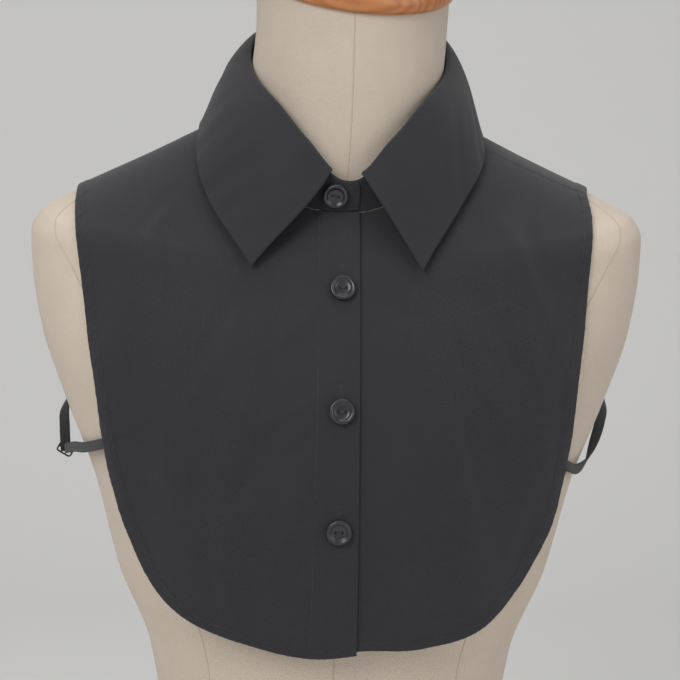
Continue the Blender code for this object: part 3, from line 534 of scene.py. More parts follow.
class Row(Enum):
    """What a row of stitches holds, with its pitch in metres."""

    TOPSTITCH = 0.0024
    BUTTONHOLE = 0.00062


def linear(hex_colour: str) -> tuple[float, float, float, float]:
    """Turns an sRGB hex colour into linear RGBA.

    Args:
        hex_colour: Six hex digits after a #.

    Returns:
        Red, green, blue and an alpha of 1.
    """
    parts = [int(hex_colour[i:i + 2], 16) / 255 for i in (1, 3, 5)]
    return tuple(p / 12.92 if p <= 0.04045 else ((p + 0.055) / 1.055) ** 2.4 for p in parts) + (1.0,)


def node(tree: bpy.types.NodeTree, kind: str, links: dict | None = None, **settings) -> bpy.types.Node:
    """Adds a node, sets its properties and inputs and links its inputs.

    Args:
        tree: The tree that gets the node.
        kind: The node's type.
        links: For each input's name or number, an output socket or a value.
        settings: The node's own properties.

    Returns:
        The new node.
    """
    made = tree.nodes.new(kind)
    for key, value in settings.items():
        setattr(made, key, value)
    for key, value in (links or {}).items():
        if isinstance(value, bpy.types.NodeSocket):
            tree.links.new(value, made.inputs[key])
        else:
            made.inputs[key].default_value = value
    return made


# ---------------------------------------------------------------- finishes

@dataclass(frozen=True)
class Finish:
    """A finish with one colour and a fine noise in its relief."""

    name: str
    colour: str
    roughness: float
    shade: str = ""              # a second colour that a soft noise brings in
    sheen: float = 0.0
    coat: float = 0.0
    grain: float = 400.0         # noise cells in a metre
    relief: float = 0.00002      # metres of bump

    def start(self) -> tuple[bpy.types.Material, bpy.types.NodeTree, bpy.types.Node, bpy.types.Node]:
        """Makes the material, its shader's own constant inputs and the object's coordinates."""
        material = bpy.data.materials.new(self.name)
        material.use_nodes = True
        tree = material.node_tree
        shader = tree.nodes["Principled BSDF"]
        shader.inputs["Base Color"].default_value = linear(self.colour)
        shader.inputs["Roughness"].default_value = self.roughness
        shader.inputs["Sheen Weight"].default_value = self.sheen
        shader.inputs["Coat Weight"].default_value = self.coat
        return material, tree, shader, node(tree, "ShaderNodeTexCoord")

    def mottle(self, tree: bpy.types.NodeTree, shader: bpy.types.Node, place: bpy.types.NodeSocket) -> None:
        """Brings in the second colour by a soft noise."""
        if self.shade:
            noise = node(tree, "ShaderNodeTexNoise", {"Vector": place, "Scale": self.grain / 20, "Detail": 4.0})
            blend = node(tree, "ShaderNodeMix", {0: noise.outputs["Fac"], 6: linear(self.colour),
                                                 7: linear(self.shade)}, data_type="RGBA")
            tree.links.new(blend.outputs[2], shader.inputs["Base Color"])

    def raise_by(self, tree: bpy.types.NodeTree, shader: bpy.types.Node, height: bpy.types.NodeSocket,
                 depth: float) -> None:
        """Bumps the surface by a height from 0 to 1 that stands for a depth in metres."""
        bump = node(tree, "ShaderNodeBump", {"Height": height, "Distance": depth, "Strength": 1.0})
        tree.links.new(bump.outputs["Normal"], shader.inputs["Normal"])

    def material(self) -> bpy.types.Material:
        """Builds the finish: moulded or plain, with its grain as fine relief."""
        material, tree, shader, coords = self.start()
        place = coords.outputs["Object"]
        self.mottle(tree, shader, place)
        noise = node(tree, "ShaderNodeTexNoise", {"Vector": place, "Scale": self.grain, "Detail": 3.0})
        self.raise_by(tree, shader, noise.outputs["Fac"], self.relief)
        return material


@dataclass(frozen=True)
class WovenFinish(Finish):
    """A plain weave on the piece's own UV map, which is in metres of cloth."""

    thread: float = 0.0006       # spacing of the threads, in metres
    slub: float = 0.25           # how uneven the threads are

    def material(self) -> bpy.types.Material:
        """Builds the weave: warp over weft, each thread rounded, with slubs and soft mottling."""
        material, tree, shader, coords = self.start()
        self.mottle(tree, shader, coords.outputs["Object"])
        split = node(tree, "ShaderNodeSeparateXYZ", {0: coords.outputs["UV"]})
        turns = []
        for axis in ("X", "Y"):
            scaled = node(tree, "ShaderNodeMath", {0: split.outputs[axis], 1: math.pi / self.thread},
                          operation="MULTIPLY")
            turns.append(node(tree, "ShaderNodeMath", {0: scaled.outputs[0]}, operation="SINE").outputs[0])
        cross = node(tree, "ShaderNodeMath", {0: turns[0], 1: turns[1]}, operation="MULTIPLY")
        slub = node(tree, "ShaderNodeTexNoise", {"Vector": coords.outputs["Object"], "Scale": self.grain,
                                                 "Detail": 5.0, "Roughness": 0.65})
        height = node(tree, "ShaderNodeMath", {0: slub.outputs["Fac"], 1: self.slub * 4, 2: cross.outputs[0]},
                      operation="MULTIPLY_ADD")
        self.raise_by(tree, shader, height.outputs[0], self.relief)
        return material


@dataclass(frozen=True)
class RibbedFinish(Finish):
    """Knitted elastic: fine ribs along the ribbon's UV length."""

    rib: float = 0.0011          # spacing of the ribs across the ribbon, in metres

    def material(self) -> bpy.types.Material:
        """Builds the ribs, crossed by the rubber's small puckers."""
        material, tree, shader, coords = self.start()
        split = node(tree, "ShaderNodeSeparateXYZ", {0: coords.outputs["UV"]})
        across = node(tree, "ShaderNodeMath", {0: split.outputs["X"], 1: 2 * math.pi / self.rib},
                      operation="MULTIPLY")
        along = node(tree, "ShaderNodeMath", {0: split.outputs["Y"], 1: 2 * math.pi / self.rib / 0.7},
                     operation="MULTIPLY")
        first = node(tree, "ShaderNodeMath", {0: across.outputs[0]}, operation="SINE")
        second = node(tree, "ShaderNodeMath", {0: along.outputs[0]}, operation="SINE")
        height = node(tree, "ShaderNodeMath", {0: second.outputs[0], 1: 0.4, 2: first.outputs[0]},
                      operation="MULTIPLY_ADD")
        self.raise_by(tree, shader, height.outputs[0], self.relief)
        return material


@dataclass(frozen=True)
class WoodFinish(Finish):
    """Turned beech, stained honey and varnished: long soft grain under a thin coat."""

    ring: float = 0.004          # spacing of the grain, in metres

    def material(self) -> bpy.types.Material:
        """Builds the grain as stretched bands across the cap."""
        material, tree, shader, coords = self.start()
        mapped = node(tree, "ShaderNodeMapping", {"Vector": coords.outputs["Object"],
                                                  "Scale": (0.12, 1.0, 0.5)})
        wave = node(tree, "ShaderNodeTexWave", {"Vector": mapped.outputs[0], "Scale": 0.3 / self.ring,
                                                "Distortion": 7.0, "Detail": 3.0, "Detail Scale": 1.6},
                    bands_direction="Y")
        blend = node(tree, "ShaderNodeMix", {0: wave.outputs["Fac"], 6: linear(self.colour),
                                             7: linear(self.shade)}, data_type="RGBA")
        tree.links.new(blend.outputs[2], shader.inputs["Base Color"])
        self.raise_by(tree, shader, wave.outputs["Fac"], self.relief)
        return material


# Cotton poplin: fine, matt and tightly woven. Its real threads are 0.2 mm apart, too fine
# to show, so they are drawn at 0.55 mm.
POPLIN = WovenFinish("black_poplin", "#222227", 0.82, shade="#1b1b20", sheen=0.16, grain=900,
                     relief=0.00006, thread=0.00055)
# Linen canvas: coarse threads with slubs, unbleached, dry to the touch.
LINEN = WovenFinish("unbleached_linen", "#d3c5b5", 0.92, shade="#c7b8a7", sheen=0.10, grain=700,
                    relief=0.00011, thread=0.00080, slub=0.45)
# Moulded polyester: the buttons' gloss gives a soft bright rim.
POLYESTER = Finish("black_polyester", "#26262a", 0.30, coat=0.25, grain=2500, relief=0.000006)
ELASTIC = RibbedFinish("ribbed_elastic", "#202024", 0.75, sheen=0.15, relief=0.00009)
NYLON = Finish("moulded_nylon", "#161618", 0.38, grain=1800, relief=0.00001)
# Spun thread: a shade lighter than the poplin, as its twist catches the light.
THREAD = Finish("spun_thread", "#2c2c32", 0.70, sheen=0.25, grain=3000, relief=0.00002)
BEECH = WoodFinish("varnished_beech", "#bd7a45", 0.38, shade="#a96636", coat=0.35, relief=0.00003)
SEAM_TAPE = Finish("linen_seam", "#bfae9c", 0.9, grain=1500, relief=0.00004)
PAPER = Finish("studio_paper", "#d9d8d6", 0.95, grain=60, relief=0.00001)


# ---------------------------------------------------------------- meshes

def dress(name: str, mesh: bpy.types.Mesh, finish: bpy.types.Material) -> bpy.types.Object:
    """Makes a smooth-shaded object of a mesh, with its faces pointing out.

    Args:
        name: The piece's name.
        mesh: Its mesh, in place.
        finish: Its material.

    Returns:
        The linked object.
    """
    work = bmesh.new()
    work.from_mesh(mesh)
    bmesh.ops.recalc_face_normals(work, faces=work.faces)
    work.to_mesh(mesh)
    work.free()
    mesh.shade_smooth()
    mesh.set_sharp_from_angle(angle=math.radians(SMOOTH))
    mesh.materials.clear()
    mesh.materials.append(finish)
    made = bpy.data.objects.new(name, mesh)
    bpy.context.scene.collection.objects.link(made)
    return made


def wall(name: str, inner: np.ndarray, outer: np.ndarray, finish: bpy.types.Material,
         places: np.ndarray | None = None) -> bpy.types.Object:
    """A closed shell between two grids of points, with its UV map in metres of cloth.

    Args:
        name: The piece's name.
        inner: Points of the inner face, rows by columns by 3.
        outer: Points of the outer face, of the same shape.
        finish: The material.
        places: Each point's place on the flat cloth, or None for lengths along the grid.

    Returns:
        The piece.
    """
    rows, columns = inner.shape[:2]
    count = rows * columns
    index = np.arange(count).reshape(rows, columns)
    a, b, c, d = index[:-1, :-1], index[:-1, 1:], index[1:, 1:], index[1:, :-1]
    quads = np.stack((a, b, c, d), axis=-1).reshape(-1, 4)
    border = np.concatenate((index[0, :-1], index[:-1, -1], index[-1, :0:-1], index[:0:-1, 0]))
    after = np.roll(border, -1)
    rim = np.stack((border, after, after + count, border + count), axis=-1)
    faces = np.vstack((quads[:, ::-1], quads + count, rim))
    mesh = bpy.data.meshes.new(name)
    mesh.from_pydata(np.vstack((inner.reshape(-1, 3), outer.reshape(-1, 3))), [], faces.tolist())
    if places is None:
        across = np.linalg.norm(np.diff(outer, axis=1), axis=2).mean(axis=0)
        down = np.linalg.norm(np.diff(outer, axis=0), axis=2).mean(axis=1)
        u, v = np.concatenate(([0], np.cumsum(across))), np.concatenate(([0], np.cumsum(down)))
        places = np.stack(np.meshgrid(u, v), axis=-1)
    flat = np.vstack((places.reshape(-1, 2), places.reshape(-1, 2)))
    layer = mesh.uv_layers.new(name="cloth")
    corners = np.empty(len(mesh.loops), dtype=np.int32)
    mesh.loops.foreach_get("vertex_index", corners)
    layer.data.foreach_set("uv", flat[corners].astype(np.float32).ravel())
    return dress(name, mesh, finish)


def turned(name: str, loops: np.ndarray, finish: bpy.types.Material) -> bpy.types.Object:
    """A closed body through loops of points, with flat ends and a UV map in metres.

    Args:
        name: The piece's name.
        loops: Points, loops by places round each by 3.
        finish: The material.

    Returns:
        The piece.
    """
    count, around = loops.shape[:2]
    faces = [tuple(range(around)), tuple(range((count - 1) * around, count * around))]
    for i in range(count - 1):
        for j in range(around):
            k = (j + 1) % around
            faces.append((i * around + j, i * around + k, (i + 1) * around + k, (i + 1) * around + j))
    mesh = bpy.data.meshes.new(name)
    mesh.from_pydata(loops.reshape(-1, 3), [], faces)
    turn = np.linspace(0, 1, around, endpoint=False)
    girth = np.linalg.norm(loops - np.roll(loops, 1, axis=1), axis=2).sum(axis=1).mean()
    rise = np.concatenate(([0], np.cumsum(np.linalg.norm(np.diff(loops[:, 0], axis=0), axis=1))))
    flat = np.stack(np.meshgrid(turn * girth, rise), axis=-1).reshape(-1, 2)
    layer = mesh.uv_layers.new(name="cloth")
    for face in mesh.polygons:
        values = [flat[mesh.loops[i].vertex_index].copy() for i in face.loop_indices]
        if len(values) == 4 and max(v[0] for v in values) - min(v[0] for v in values) > girth / 2:
            for value in values:
                value[0] += girth if value[0] < girth / 2 else 0
        for i, value in zip(face.loop_indices, values):
            layer.data[i].uv = value
    return dress(name, mesh, finish)


def waver(along: np.ndarray, seed: int) -> np.ndarray:
    """An uneven wave from -1 to 1 along a length in metres.

    Args:
        along: Lengths.
        seed: Chooses the wave.

    Returns:
        The wave's height at each length.
    """
    total = np.zeros_like(along)
    for i, (length, share) in enumerate(((0.0071, 0.30), (0.0113, 0.30), (0.0190, 0.25), (0.0430, 0.15))):
        total = total + share * np.sin(2 * math.pi * along / length + seed * 1.7 + i * 2.3)
    return total


def crease_height(x: np.ndarray, q: np.ndarray) -> np.ndarray:
    """Height of the small creases at places (x, q)."""
    total = np.zeros(np.broadcast(x, q).shape)
    for x_1, q_1, x_2, q_2, half_width, height in np.array(CREASES) / 1000:
        run_x, run_q = x_2 - x_1, q_2 - q_1
        length = math.hypot(run_x, run_q)
        along = ((x - x_1) * run_x + (q - q_1) * run_q) / length ** 2
        aside = ((x - x_1) * run_q - (q - q_1) * run_x) / length
        bow = 0.12 * length * (along - along ** 2)
        ends = step(-0.15, 0.35, along) * step(1.30, 0.60, along)
        total = total + height * ends * np.exp(-((aside - bow) / half_width) ** 2)
    return total


def crowded(count: int, span: float, start: bool, end: bool) -> np.ndarray:
    """Parameters from 0 to 1, with extra ones near a hemmed start or end.

    Args:
        count: How many even ones there are.
        span: The length that they cover, in metres.
        start: Whether the start has an edge to follow.
        end: Whether the end has.

    Returns:
        The sorted parameters.
    """
    near = np.array(EDGE_STEPS) / 1000 / span
    parts = [np.linspace(0, 1, count)] + [near] * start + [1 - near] * end
    return np.unique(np.concatenate(parts).round(6))


def at(line: np.ndarray, shares: np.ndarray) -> np.ndarray:
    """Points of an evenly spaced line at shares of its length from 0 to 1."""
    even = np.linspace(0, 1, len(line))
    return np.stack([np.interp(shares, even, column) for column in line.T], axis=-1)


def from_line(places: np.ndarray, line: np.ndarray) -> np.ndarray:
    """Distance from each place to the nearest point of a dense line."""
    flat = places.reshape(-1, 2)
    best = np.full(len(flat), np.inf)
    for start in range(0, len(line), 40):
        part = line[start:start + 40]
        best = np.minimum(best, np.linalg.norm(flat[:, None] - part[None], axis=2).min(axis=1))
    return best.reshape(places.shape[:2])


def stitch_tree(finish: bpy.types.Material) -> bpy.types.NodeTree:
    """A tree that sets a row of stitches along the edges of a guide.

    Args:
        finish: The thread's material.

    Returns:
        The tree, with its pitch, stitch length and thread radius as named inputs.
    """
    tree = bpy.data.node_groups.new("stitch_row", "GeometryNodeTree")
    tree.interface.new_socket("Guide", in_out="INPUT", socket_type="NodeSocketGeometry")
    for name in ("Pitch", "Stitch length", "Thread radius"):
        tree.interface.new_socket(name, in_out="INPUT", socket_type="NodeSocketFloat")
    tree.interface.new_socket("Stitches", in_out="OUTPUT", socket_type="NodeSocketGeometry")
    given = node(tree, "NodeGroupInput")
    curve = node(tree, "GeometryNodeMeshToCurve", {0: given.outputs["Guide"]})
    points = node(tree, "GeometryNodeResampleCurve", {0: curve.outputs[0]})
    points.mode = "LENGTH"
    tree.links.new(given.outputs["Pitch"], points.inputs["Length"])
    ball = node(tree, "GeometryNodeMeshUVSphere", {"Segments": 6, "Rings": 4, "Radius": 1.0})
    size = node(tree, "ShaderNodeCombineXYZ", {0: given.outputs["Thread radius"],
                                               1: given.outputs["Thread radius"],
                                               2: given.outputs["Stitch length"]})
    slack = node(tree, "FunctionNodeRandomValue", {2: 0.88, 3: 1.08, "Seed": 7}, data_type="FLOAT")
    sized = node(tree, "ShaderNodeVectorMath", {0: size.outputs[0]}, operation="SCALE")
    tree.links.new(slack.outputs[1], sized.inputs["Scale"])
    tangent = node(tree, "GeometryNodeInputTangent")
    turn = node(tree, "FunctionNodeAlignRotationToVector", {"Vector": tangent.outputs[0]}, axis="Z")
    spread_out = node(tree, "GeometryNodeInstanceOnPoints",
                      {"Points": points.outputs[0], "Instance": ball.outputs[0],
                       "Rotation": turn.outputs[0], "Scale": sized.outputs[0]})
    real = node(tree, "GeometryNodeRealizeInstances", {0: spread_out.outputs[0]})
    dressed = node(tree, "GeometryNodeSetMaterial", {0: real.outputs[0], "Material": finish})
    node(tree, "NodeGroupOutput", {0: dressed.outputs[0]})
    return tree


def stitches(name: str, guides: list[np.ndarray], row: Row, tree: bpy.types.NodeTree) -> bpy.types.Object:
    """Rows of stitches along guides, as one plain mesh.

    Args:
        name: The piece's name.
        guides: Lines of points.
        row: What the stitches do, which gives their pitch.
        tree: The tree from stitch_tree.

    Returns:
        The stitches.
    """
    points, edges = [], []
    for guide in guides:
        first = len(points)
        points.extend(map(tuple, guide))
        edges.extend((i, i + 1) for i in range(first, len(points) - 1))
    mesh = bpy.data.meshes.new(name + "_guide")
    mesh.from_pydata(points, edges, [])
    holder = bpy.data.objects.new(name + "_guide", mesh)
    bpy.context.scene.collection.objects.link(holder)
    sizes = {"Pitch": row.value, "Stitch length": row.value * 0.43, "Thread radius": 0.00019}
    if row is Row.BUTTONHOLE:
        sizes["Stitch length"] = row.value * 0.62
    rows = holder.modifiers.new("stitches", "NODES")
    rows.node_group = tree
    for socket in tree.interface.items_tree:
        if socket.item_type == "SOCKET" and socket.in_out == "INPUT" and socket.name in sizes:
            rows[socket.identifier] = sizes[socket.name]
    holder.update_tag()
    graph = bpy.context.evaluated_depsgraph_get()
    made = bpy.data.meshes.new_from_object(holder.evaluated_get(graph))
    holder.modifiers.remove(rows)
    bpy.data.objects.remove(holder)
    made.name = name
    made.shade_smooth()
    piece = bpy.data.objects.new(name, made)
    bpy.context.scene.collection.objects.link(piece)
    return piece


def tube(line: np.ndarray, radius: float, sides: int = 8) -> np.ndarray:
    """Loops of a round cord about a line of points.

    Args:
        line: The middle of the cord.
        radius: Its radius.
        sides: Points round each loop.

    Returns:
        The loops, for turned().
    """
    along = unit(np.gradient(line, axis=0))
    side = unit(np.cross(along, np.where(np.abs(along[:, 2:]) > 0.9, (1.0, 0, 0), (0, 0, 1.0))))
    other = np.cross(along, side)
    turn = np.linspace(0, 2 * math.pi, sides, endpoint=False)[None, :, None]
    return line[:, None] + radius * (np.cos(turn) * side[:, None] + np.sin(turn) * other[:, None])


def join(name: str, pieces: list[bpy.types.Object]) -> bpy.types.Object:
    """Joins pieces of one finish into one object."""
    work = bmesh.new()
    for piece in pieces:
        work.from_mesh(piece.data)
    mesh = bpy.data.meshes.new(name)
    work.to_mesh(mesh)
    work.free()
    finish = pieces[0].data.materials[0]
    for piece in pieces:
        bpy.data.objects.remove(piece)
    return dress(name, mesh, finish)


# ---------------------------------------------------------------- sub-assemblies

@dataclass
class DressForm:
    """The linen-covered form with its seams and its turned wooden cap."""

    around: int = 168
    rings_up: int = 210
    seam_width: float = 0.0007
    loft: Loft = field(default_factory=lambda: Loft(FORM_SECTIONS))

    def body(self) -> bpy.types.Object:
        """Builds the form's body, a little rounded at its foot."""
        turn = np.linspace(0, 2 * math.pi, self.around, endpoint=False)
        levels = np.linspace(0, self.loft.last, self.rings_up)
        loops = np.array([self.loft.ring(level, turn) for level in levels])
        return turned("form_body", loops, LINEN.material())

    def line(self, angle_of: dict[float, float], count: int = 160) -> np.ndarray:
        """Points of a seam on the form.

        Args:
            angle_of: The seam's angle from the front, in degrees, at each ring.
            count: How many points it has.

        Returns:
            The points.
        """
        table = np.array(sorted(angle_of.items()))
        route = smooth_line(table * (1, 0.01), count)
        angles = np.radians(route[:, 1] / 0.01)
        points = np.array([self.loft.ring(t, a) for t, a in zip(route[:, 0], angles)])
        return points

    def seams(self) -> bpy.types.Object:
        """Builds the cover's seams: centre front and back, the princess seams and the sides."""
        routes = [{0.0: 0.0, 18.0: 0.0}, {0.0: 180.0, 18.0: 180.0}]
        for side in Side:
            turn = side.value
            routes.append({0.0: 38 * turn, 3.0: 40 * turn, 6.5: 38 * turn, 9.0: 52 * turn, 12.5: 78 * turn})
            routes.append({0.0: 142 * turn, 3.0: 140 * turn, 6.5: 142 * turn, 9.0: 130 * turn,
                           12.5: 102 * turn})
            routes.append({0.0: 90 * turn, 8.2: 90 * turn})
        pieces = [turned(f"seam_{i}", tube(self.line(route), self.seam_width / 2, 6), SEAM_TAPE.material())
                  for i, route in enumerate(routes)]
        return join("form_seams", pieces)

    def cap(self) -> bpy.types.Object:
        """Builds the turned cap, finely rounded."""
        rim = self.loft.ring(self.loft.last, np.linspace(0, 2 * math.pi, 120, endpoint=False))
        middle = rim.mean(axis=0)
        up = unit(np.cross(rim[0] - middle, rim[30] - middle))
        out = unit(rim - middle)
        profile = smooth_line(np.array(CAP_PROFILE), 48)
        loops = np.array([rim + out * outset + up * rise for outset, rise in profile])
        return turned("form_cap", loops, BEECH.material())

    def build(self) -> list[bpy.types.Object]:
        """Builds and attaches the form."""
        body, seams, cap = self.body(), self.seams(), self.cap()
        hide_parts("torso")
        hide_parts("neck_cap")
        for piece, slot in ((body, "form_linen"), (seams, "form_linen"), (cap, "honey_wood")):
            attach(piece, "root")
        return [body, seams, cap]


@dataclass
class Bib:
    """The two fronts and the back, with their hems, placket and topstitching."""

    drape: Drape
    tree: bpy.types.NodeTree
    rows: int = 170
    columns: int = 130
    finish: bpy.types.Material = field(default_factory=POPLIN.material)

    def height(self, places: np.ndarray, over: np.ndarray | float) -> np.ndarray:
        """Height of a panel's inner face above the draped surface."""
        x, q = places[..., 0], places[..., 1]
        covered = step(1.28, 1.55, np.hypot(x / NECK_WIDTH, q / NECK_REACH))
        lowest = -REST + 0.0009 - np.zeros_like(x)
        fold = crease_height(x, q) * covered
        return np.maximum(stand_off(x, q) + fold, REST + lowest) + over

    def layers(self, name: str, top: np.ndarray, bottom: np.ndarray, first: np.ndarray, last: np.ndarray,
               hemmed: tuple[bool, bool], lapped: bool, placket: bool, seed: int) -> bpy.types.Object:
        """Builds one panel between its four edges.

        Args:
            name: The piece's name.
            top: Its neck and shoulder edge.
            bottom: Its hem.
            first: The edge where its rows start.
            last: The edge where they end.
            hemmed: Whether its first and last edges are hemmed.
            lapped: Whether it lies over the other front.
            placket: Whether its first edge is a placket.
            seed: Chooses its hem's puckers.

        Returns:
            The panel.
        """
        v = crowded(self.rows, 0.33, False, True)
        u = crowded(self.columns, 0.16, placket or hemmed[0], hemmed[1])
        grid = fill(at(top, u), at(bottom, u), at(first, v), at(last, v), u, v)
        hems = [bottom] + [edge for edge, has in ((first, hemmed[0]), (last, hemmed[1])) if has]
        line = np.vstack([spread(hem, 700) for hem in hems])
        gap = from_line(grid, line)
        run = (grid[..., 0] + grid[..., 1]) * 1.0
        width = HEM_WIDTH * (1 + 0.06 * waver(run, seed))
        raised = HEM_RISE * step(width + 0.0005, width - 0.0003, gap)
        dimple = 0.00026 * np.exp(-((gap - width + 0.0009) / 0.0005) ** 2)
        pucker = 0.00022 * waver(run, seed + 3) * step(0.011, 0.004, gap)
        if placket:
            edge = from_line(grid, spread(first, 900))
            wide = PLACKET_WIDTH + 0.0035 * np.clip(grid[..., 1] / 0.36, 0, 1) ** 4
            raised = np.maximum(raised, 0.0005 * step(wide + 0.0004, wide - 0.0004, edge))
            dimple = dimple + 0.00024 * np.exp(-((edge - wide + 0.0008) / 0.0005) ** 2)
            pucker = pucker + 0.00015 * waver(grid[..., 1], seed + 5) * step(0.008, 0.001, np.abs(edge - wide))
            gap = np.minimum(gap, edge)
        over = LAP * lap_share(grid[..., 0]) if lapped else 0.0
        low = self.height(grid, over)
        rim = np.sqrt(1 - (1 - np.clip(gap / 0.0006, 0, 1)) ** 2)
        thick = CLOTH + raised
        inner = lift(self.drape, grid, low + pucker + thick * 0.5 * (1 - rim))
        outer = lift(self.drape, grid, low + pucker + thick * (0.5 + 0.5 * rim) - dimple)
        return wall(name, inner, outer, self.finish, grid)

    def edges(self, side: Side) -> tuple[np.ndarray, ...]:
        """The four edges of a front, and the place of its shoulder seam."""
        right = side is Side.RIGHT
        armhole, hem = (RIGHT_ARMHOLE, RIGHT_HEM) if right else (LEFT_ARMHOLE, LEFT_HEM)
        edge_angle = (STAND_TOP_END if right else STAND_UNDER_END)[0]
        seam_angle = RIGHT_SEAM_ANGLE if right else LEFT_SEAM_ANGLE
        angles = np.radians(np.linspace(edge_angle, seam_angle, 80))
        neck = self.drape.place(self.drape.neckline, angles)
        tip = np.array(armhole[0]) / 1000
        seam = neck[-1] + (tip - neck[-1]) * np.linspace(0, 1, 60)[1:, None] + (0, SEAM / 4)
        top = spread(np.vstack((neck, seam)), 400)
        last = smooth_line(np.array(armhole) / 1000, 400)
        last[0] = top[-1]
        bottom = smooth_line(np.array(hem)[::-1] / 1000, 400)
        first = top[0] + (bottom[0] - top[0]) * np.linspace(0, 1, 400)[:, None]
        return top, bottom, first, last, seam

    def front(self, side: Side) -> bpy.types.Object:
        """Builds one front."""
        right = side is Side.RIGHT
        top, bottom, first, last, _ = self.edges(side)
        name = "front_right" if right else "front_left"
        return self.layers(name, top, bottom, first, last, (False, True), right, True, 2 if right else 9)

    def back(self) -> bpy.types.Object:
        """Builds the back."""
        angles = np.radians(np.linspace(RIGHT_SEAM_ANGLE, LEFT_SEAM_ANGLE, 160))
        neck = self.drape.place(self.drape.neckline, angles)
        tips = [np.array(table[0]) / 1000 for table in (BACK_RIGHT_ARMHOLE, BACK_LEFT_ARMHOLE)]
        shares = np.linspace(0, 1, 60)[:, None]
        right = (neck[0] + (tips[0] - neck[0]) * shares)[::-1] - (0, SEAM / 4)
        left = neck[-1] + (tips[1] - neck[-1]) * shares - (0, SEAM / 4)
        top = spread(np.vstack((right, neck[1:-1], left)), 700)
        first = smooth_line(np.array(BACK_RIGHT_ARMHOLE) / 1000, 400)
        last = smooth_line(np.array(BACK_LEFT_ARMHOLE) / 1000, 400)
        first[0], last[0] = top[0], top[-1]
        bottom = smooth_line(np.array(BACK_HEM) / 1000, 700)
        self.columns = 210
        made = self.layers("bib_back", top, bottom, first, last, (True, True), False, False, 14)
        self.columns = 130
        return made

    def on_top(self, places: np.ndarray, lapped: bool, extra: float) -> np.ndarray:
        """Points of a line of places on a panel's outer face."""
        over = LAP * lap_share(places[:, 0]) if lapped else 0.0
        return lift(self.drape, places, self.height(places, over) + CLOTH + extra)

    def inset(self, line: np.ndarray, width: float, towards: np.ndarray) -> np.ndarray:
        """A line of places moved sideways by a width, to the side where a point lies."""
        along = unit(np.gradient(line, axis=0))
        side = np.stack((-along[:, 1], along[:, 0]), axis=-1)
        middle = len(line) // 2
        if np.dot(side[middle], towards - line[middle]) < 0:
            side = -side
        return line + side * width

    def topstitching(self) -> list[bpy.types.Object]:
        """Builds the stitches of the hems, the placket and the shoulder seams."""
        made = []
        middle = {Side.RIGHT: np.array((-0.06, 0.15)), Side.LEFT: np.array((0.06, 0.15))}
        for side in Side:
            right = side is Side.RIGHT
            top, bottom, first, last, seam = self.edges(side)
            hem = spread(np.vstack((last, bottom[::-1][1:])), 900)[6:-3]
            rows = [self.on_top(self.inset(hem, HEM_WIDTH - 0.0009, middle[side]), right, HEM_RISE - 0.0001)]
            rows.append(self.on_top(seam[1:-2] + (0, 0.0016), right, 0.0001))
            if right:
                line = first[8:-6]
                wide = PLACKET_WIDTH - 0.0008 + 0.0035 * np.clip(line[:, 1] / 0.36, 0, 1) ** 4
                rows.append(self.on_top(line - np.stack((wide, 0 * wide), axis=-1), True, 0.00042))
            name = "topstitch_right" if right else "topstitch_left"
            made.append(stitches(name, rows, Row.TOPSTITCH, self.tree))
        ring = spread(np.vstack((smooth_line(np.array(BACK_RIGHT_ARMHOLE) / 1000, 300),
                                 smooth_line(np.array(BACK_HEM) / 1000, 500)[1:],
                                 smooth_line(np.array(BACK_LEFT_ARMHOLE) / 1000, 300)[::-1][1:])), 1400)[8:-8]
        line = self.inset(ring, HEM_WIDTH - 0.0009, np.array((0, -0.15)))
        made.append(stitches("topstitch_back", [self.on_top(line, False, HEM_RISE - 0.0001)], Row.TOPSTITCH,
                             self.tree))
        return made

    def build(self) -> dict[str, bpy.types.Object]:
        """Builds and attaches the bib."""
        sewn = {piece.name: piece for piece in self.topstitching()}
        panels = {"right_front": (self.front(Side.RIGHT), sewn["topstitch_right"], (0.175, 0.380), 0.0500),
                  "left_front": (self.front(Side.LEFT), sewn["topstitch_left"], (0.170, 0.360), 0.0465),
                  "back": (self.back(), sewn["topstitch_back"], (0.320, 0.345), 0.0850)}
        for cad, (panel, rows, flat, area) in panels.items():
            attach(panel, "root")
            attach(rows, "root")
            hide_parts(cad)
        return {cad: entry[0] for cad, entry in panels.items()}


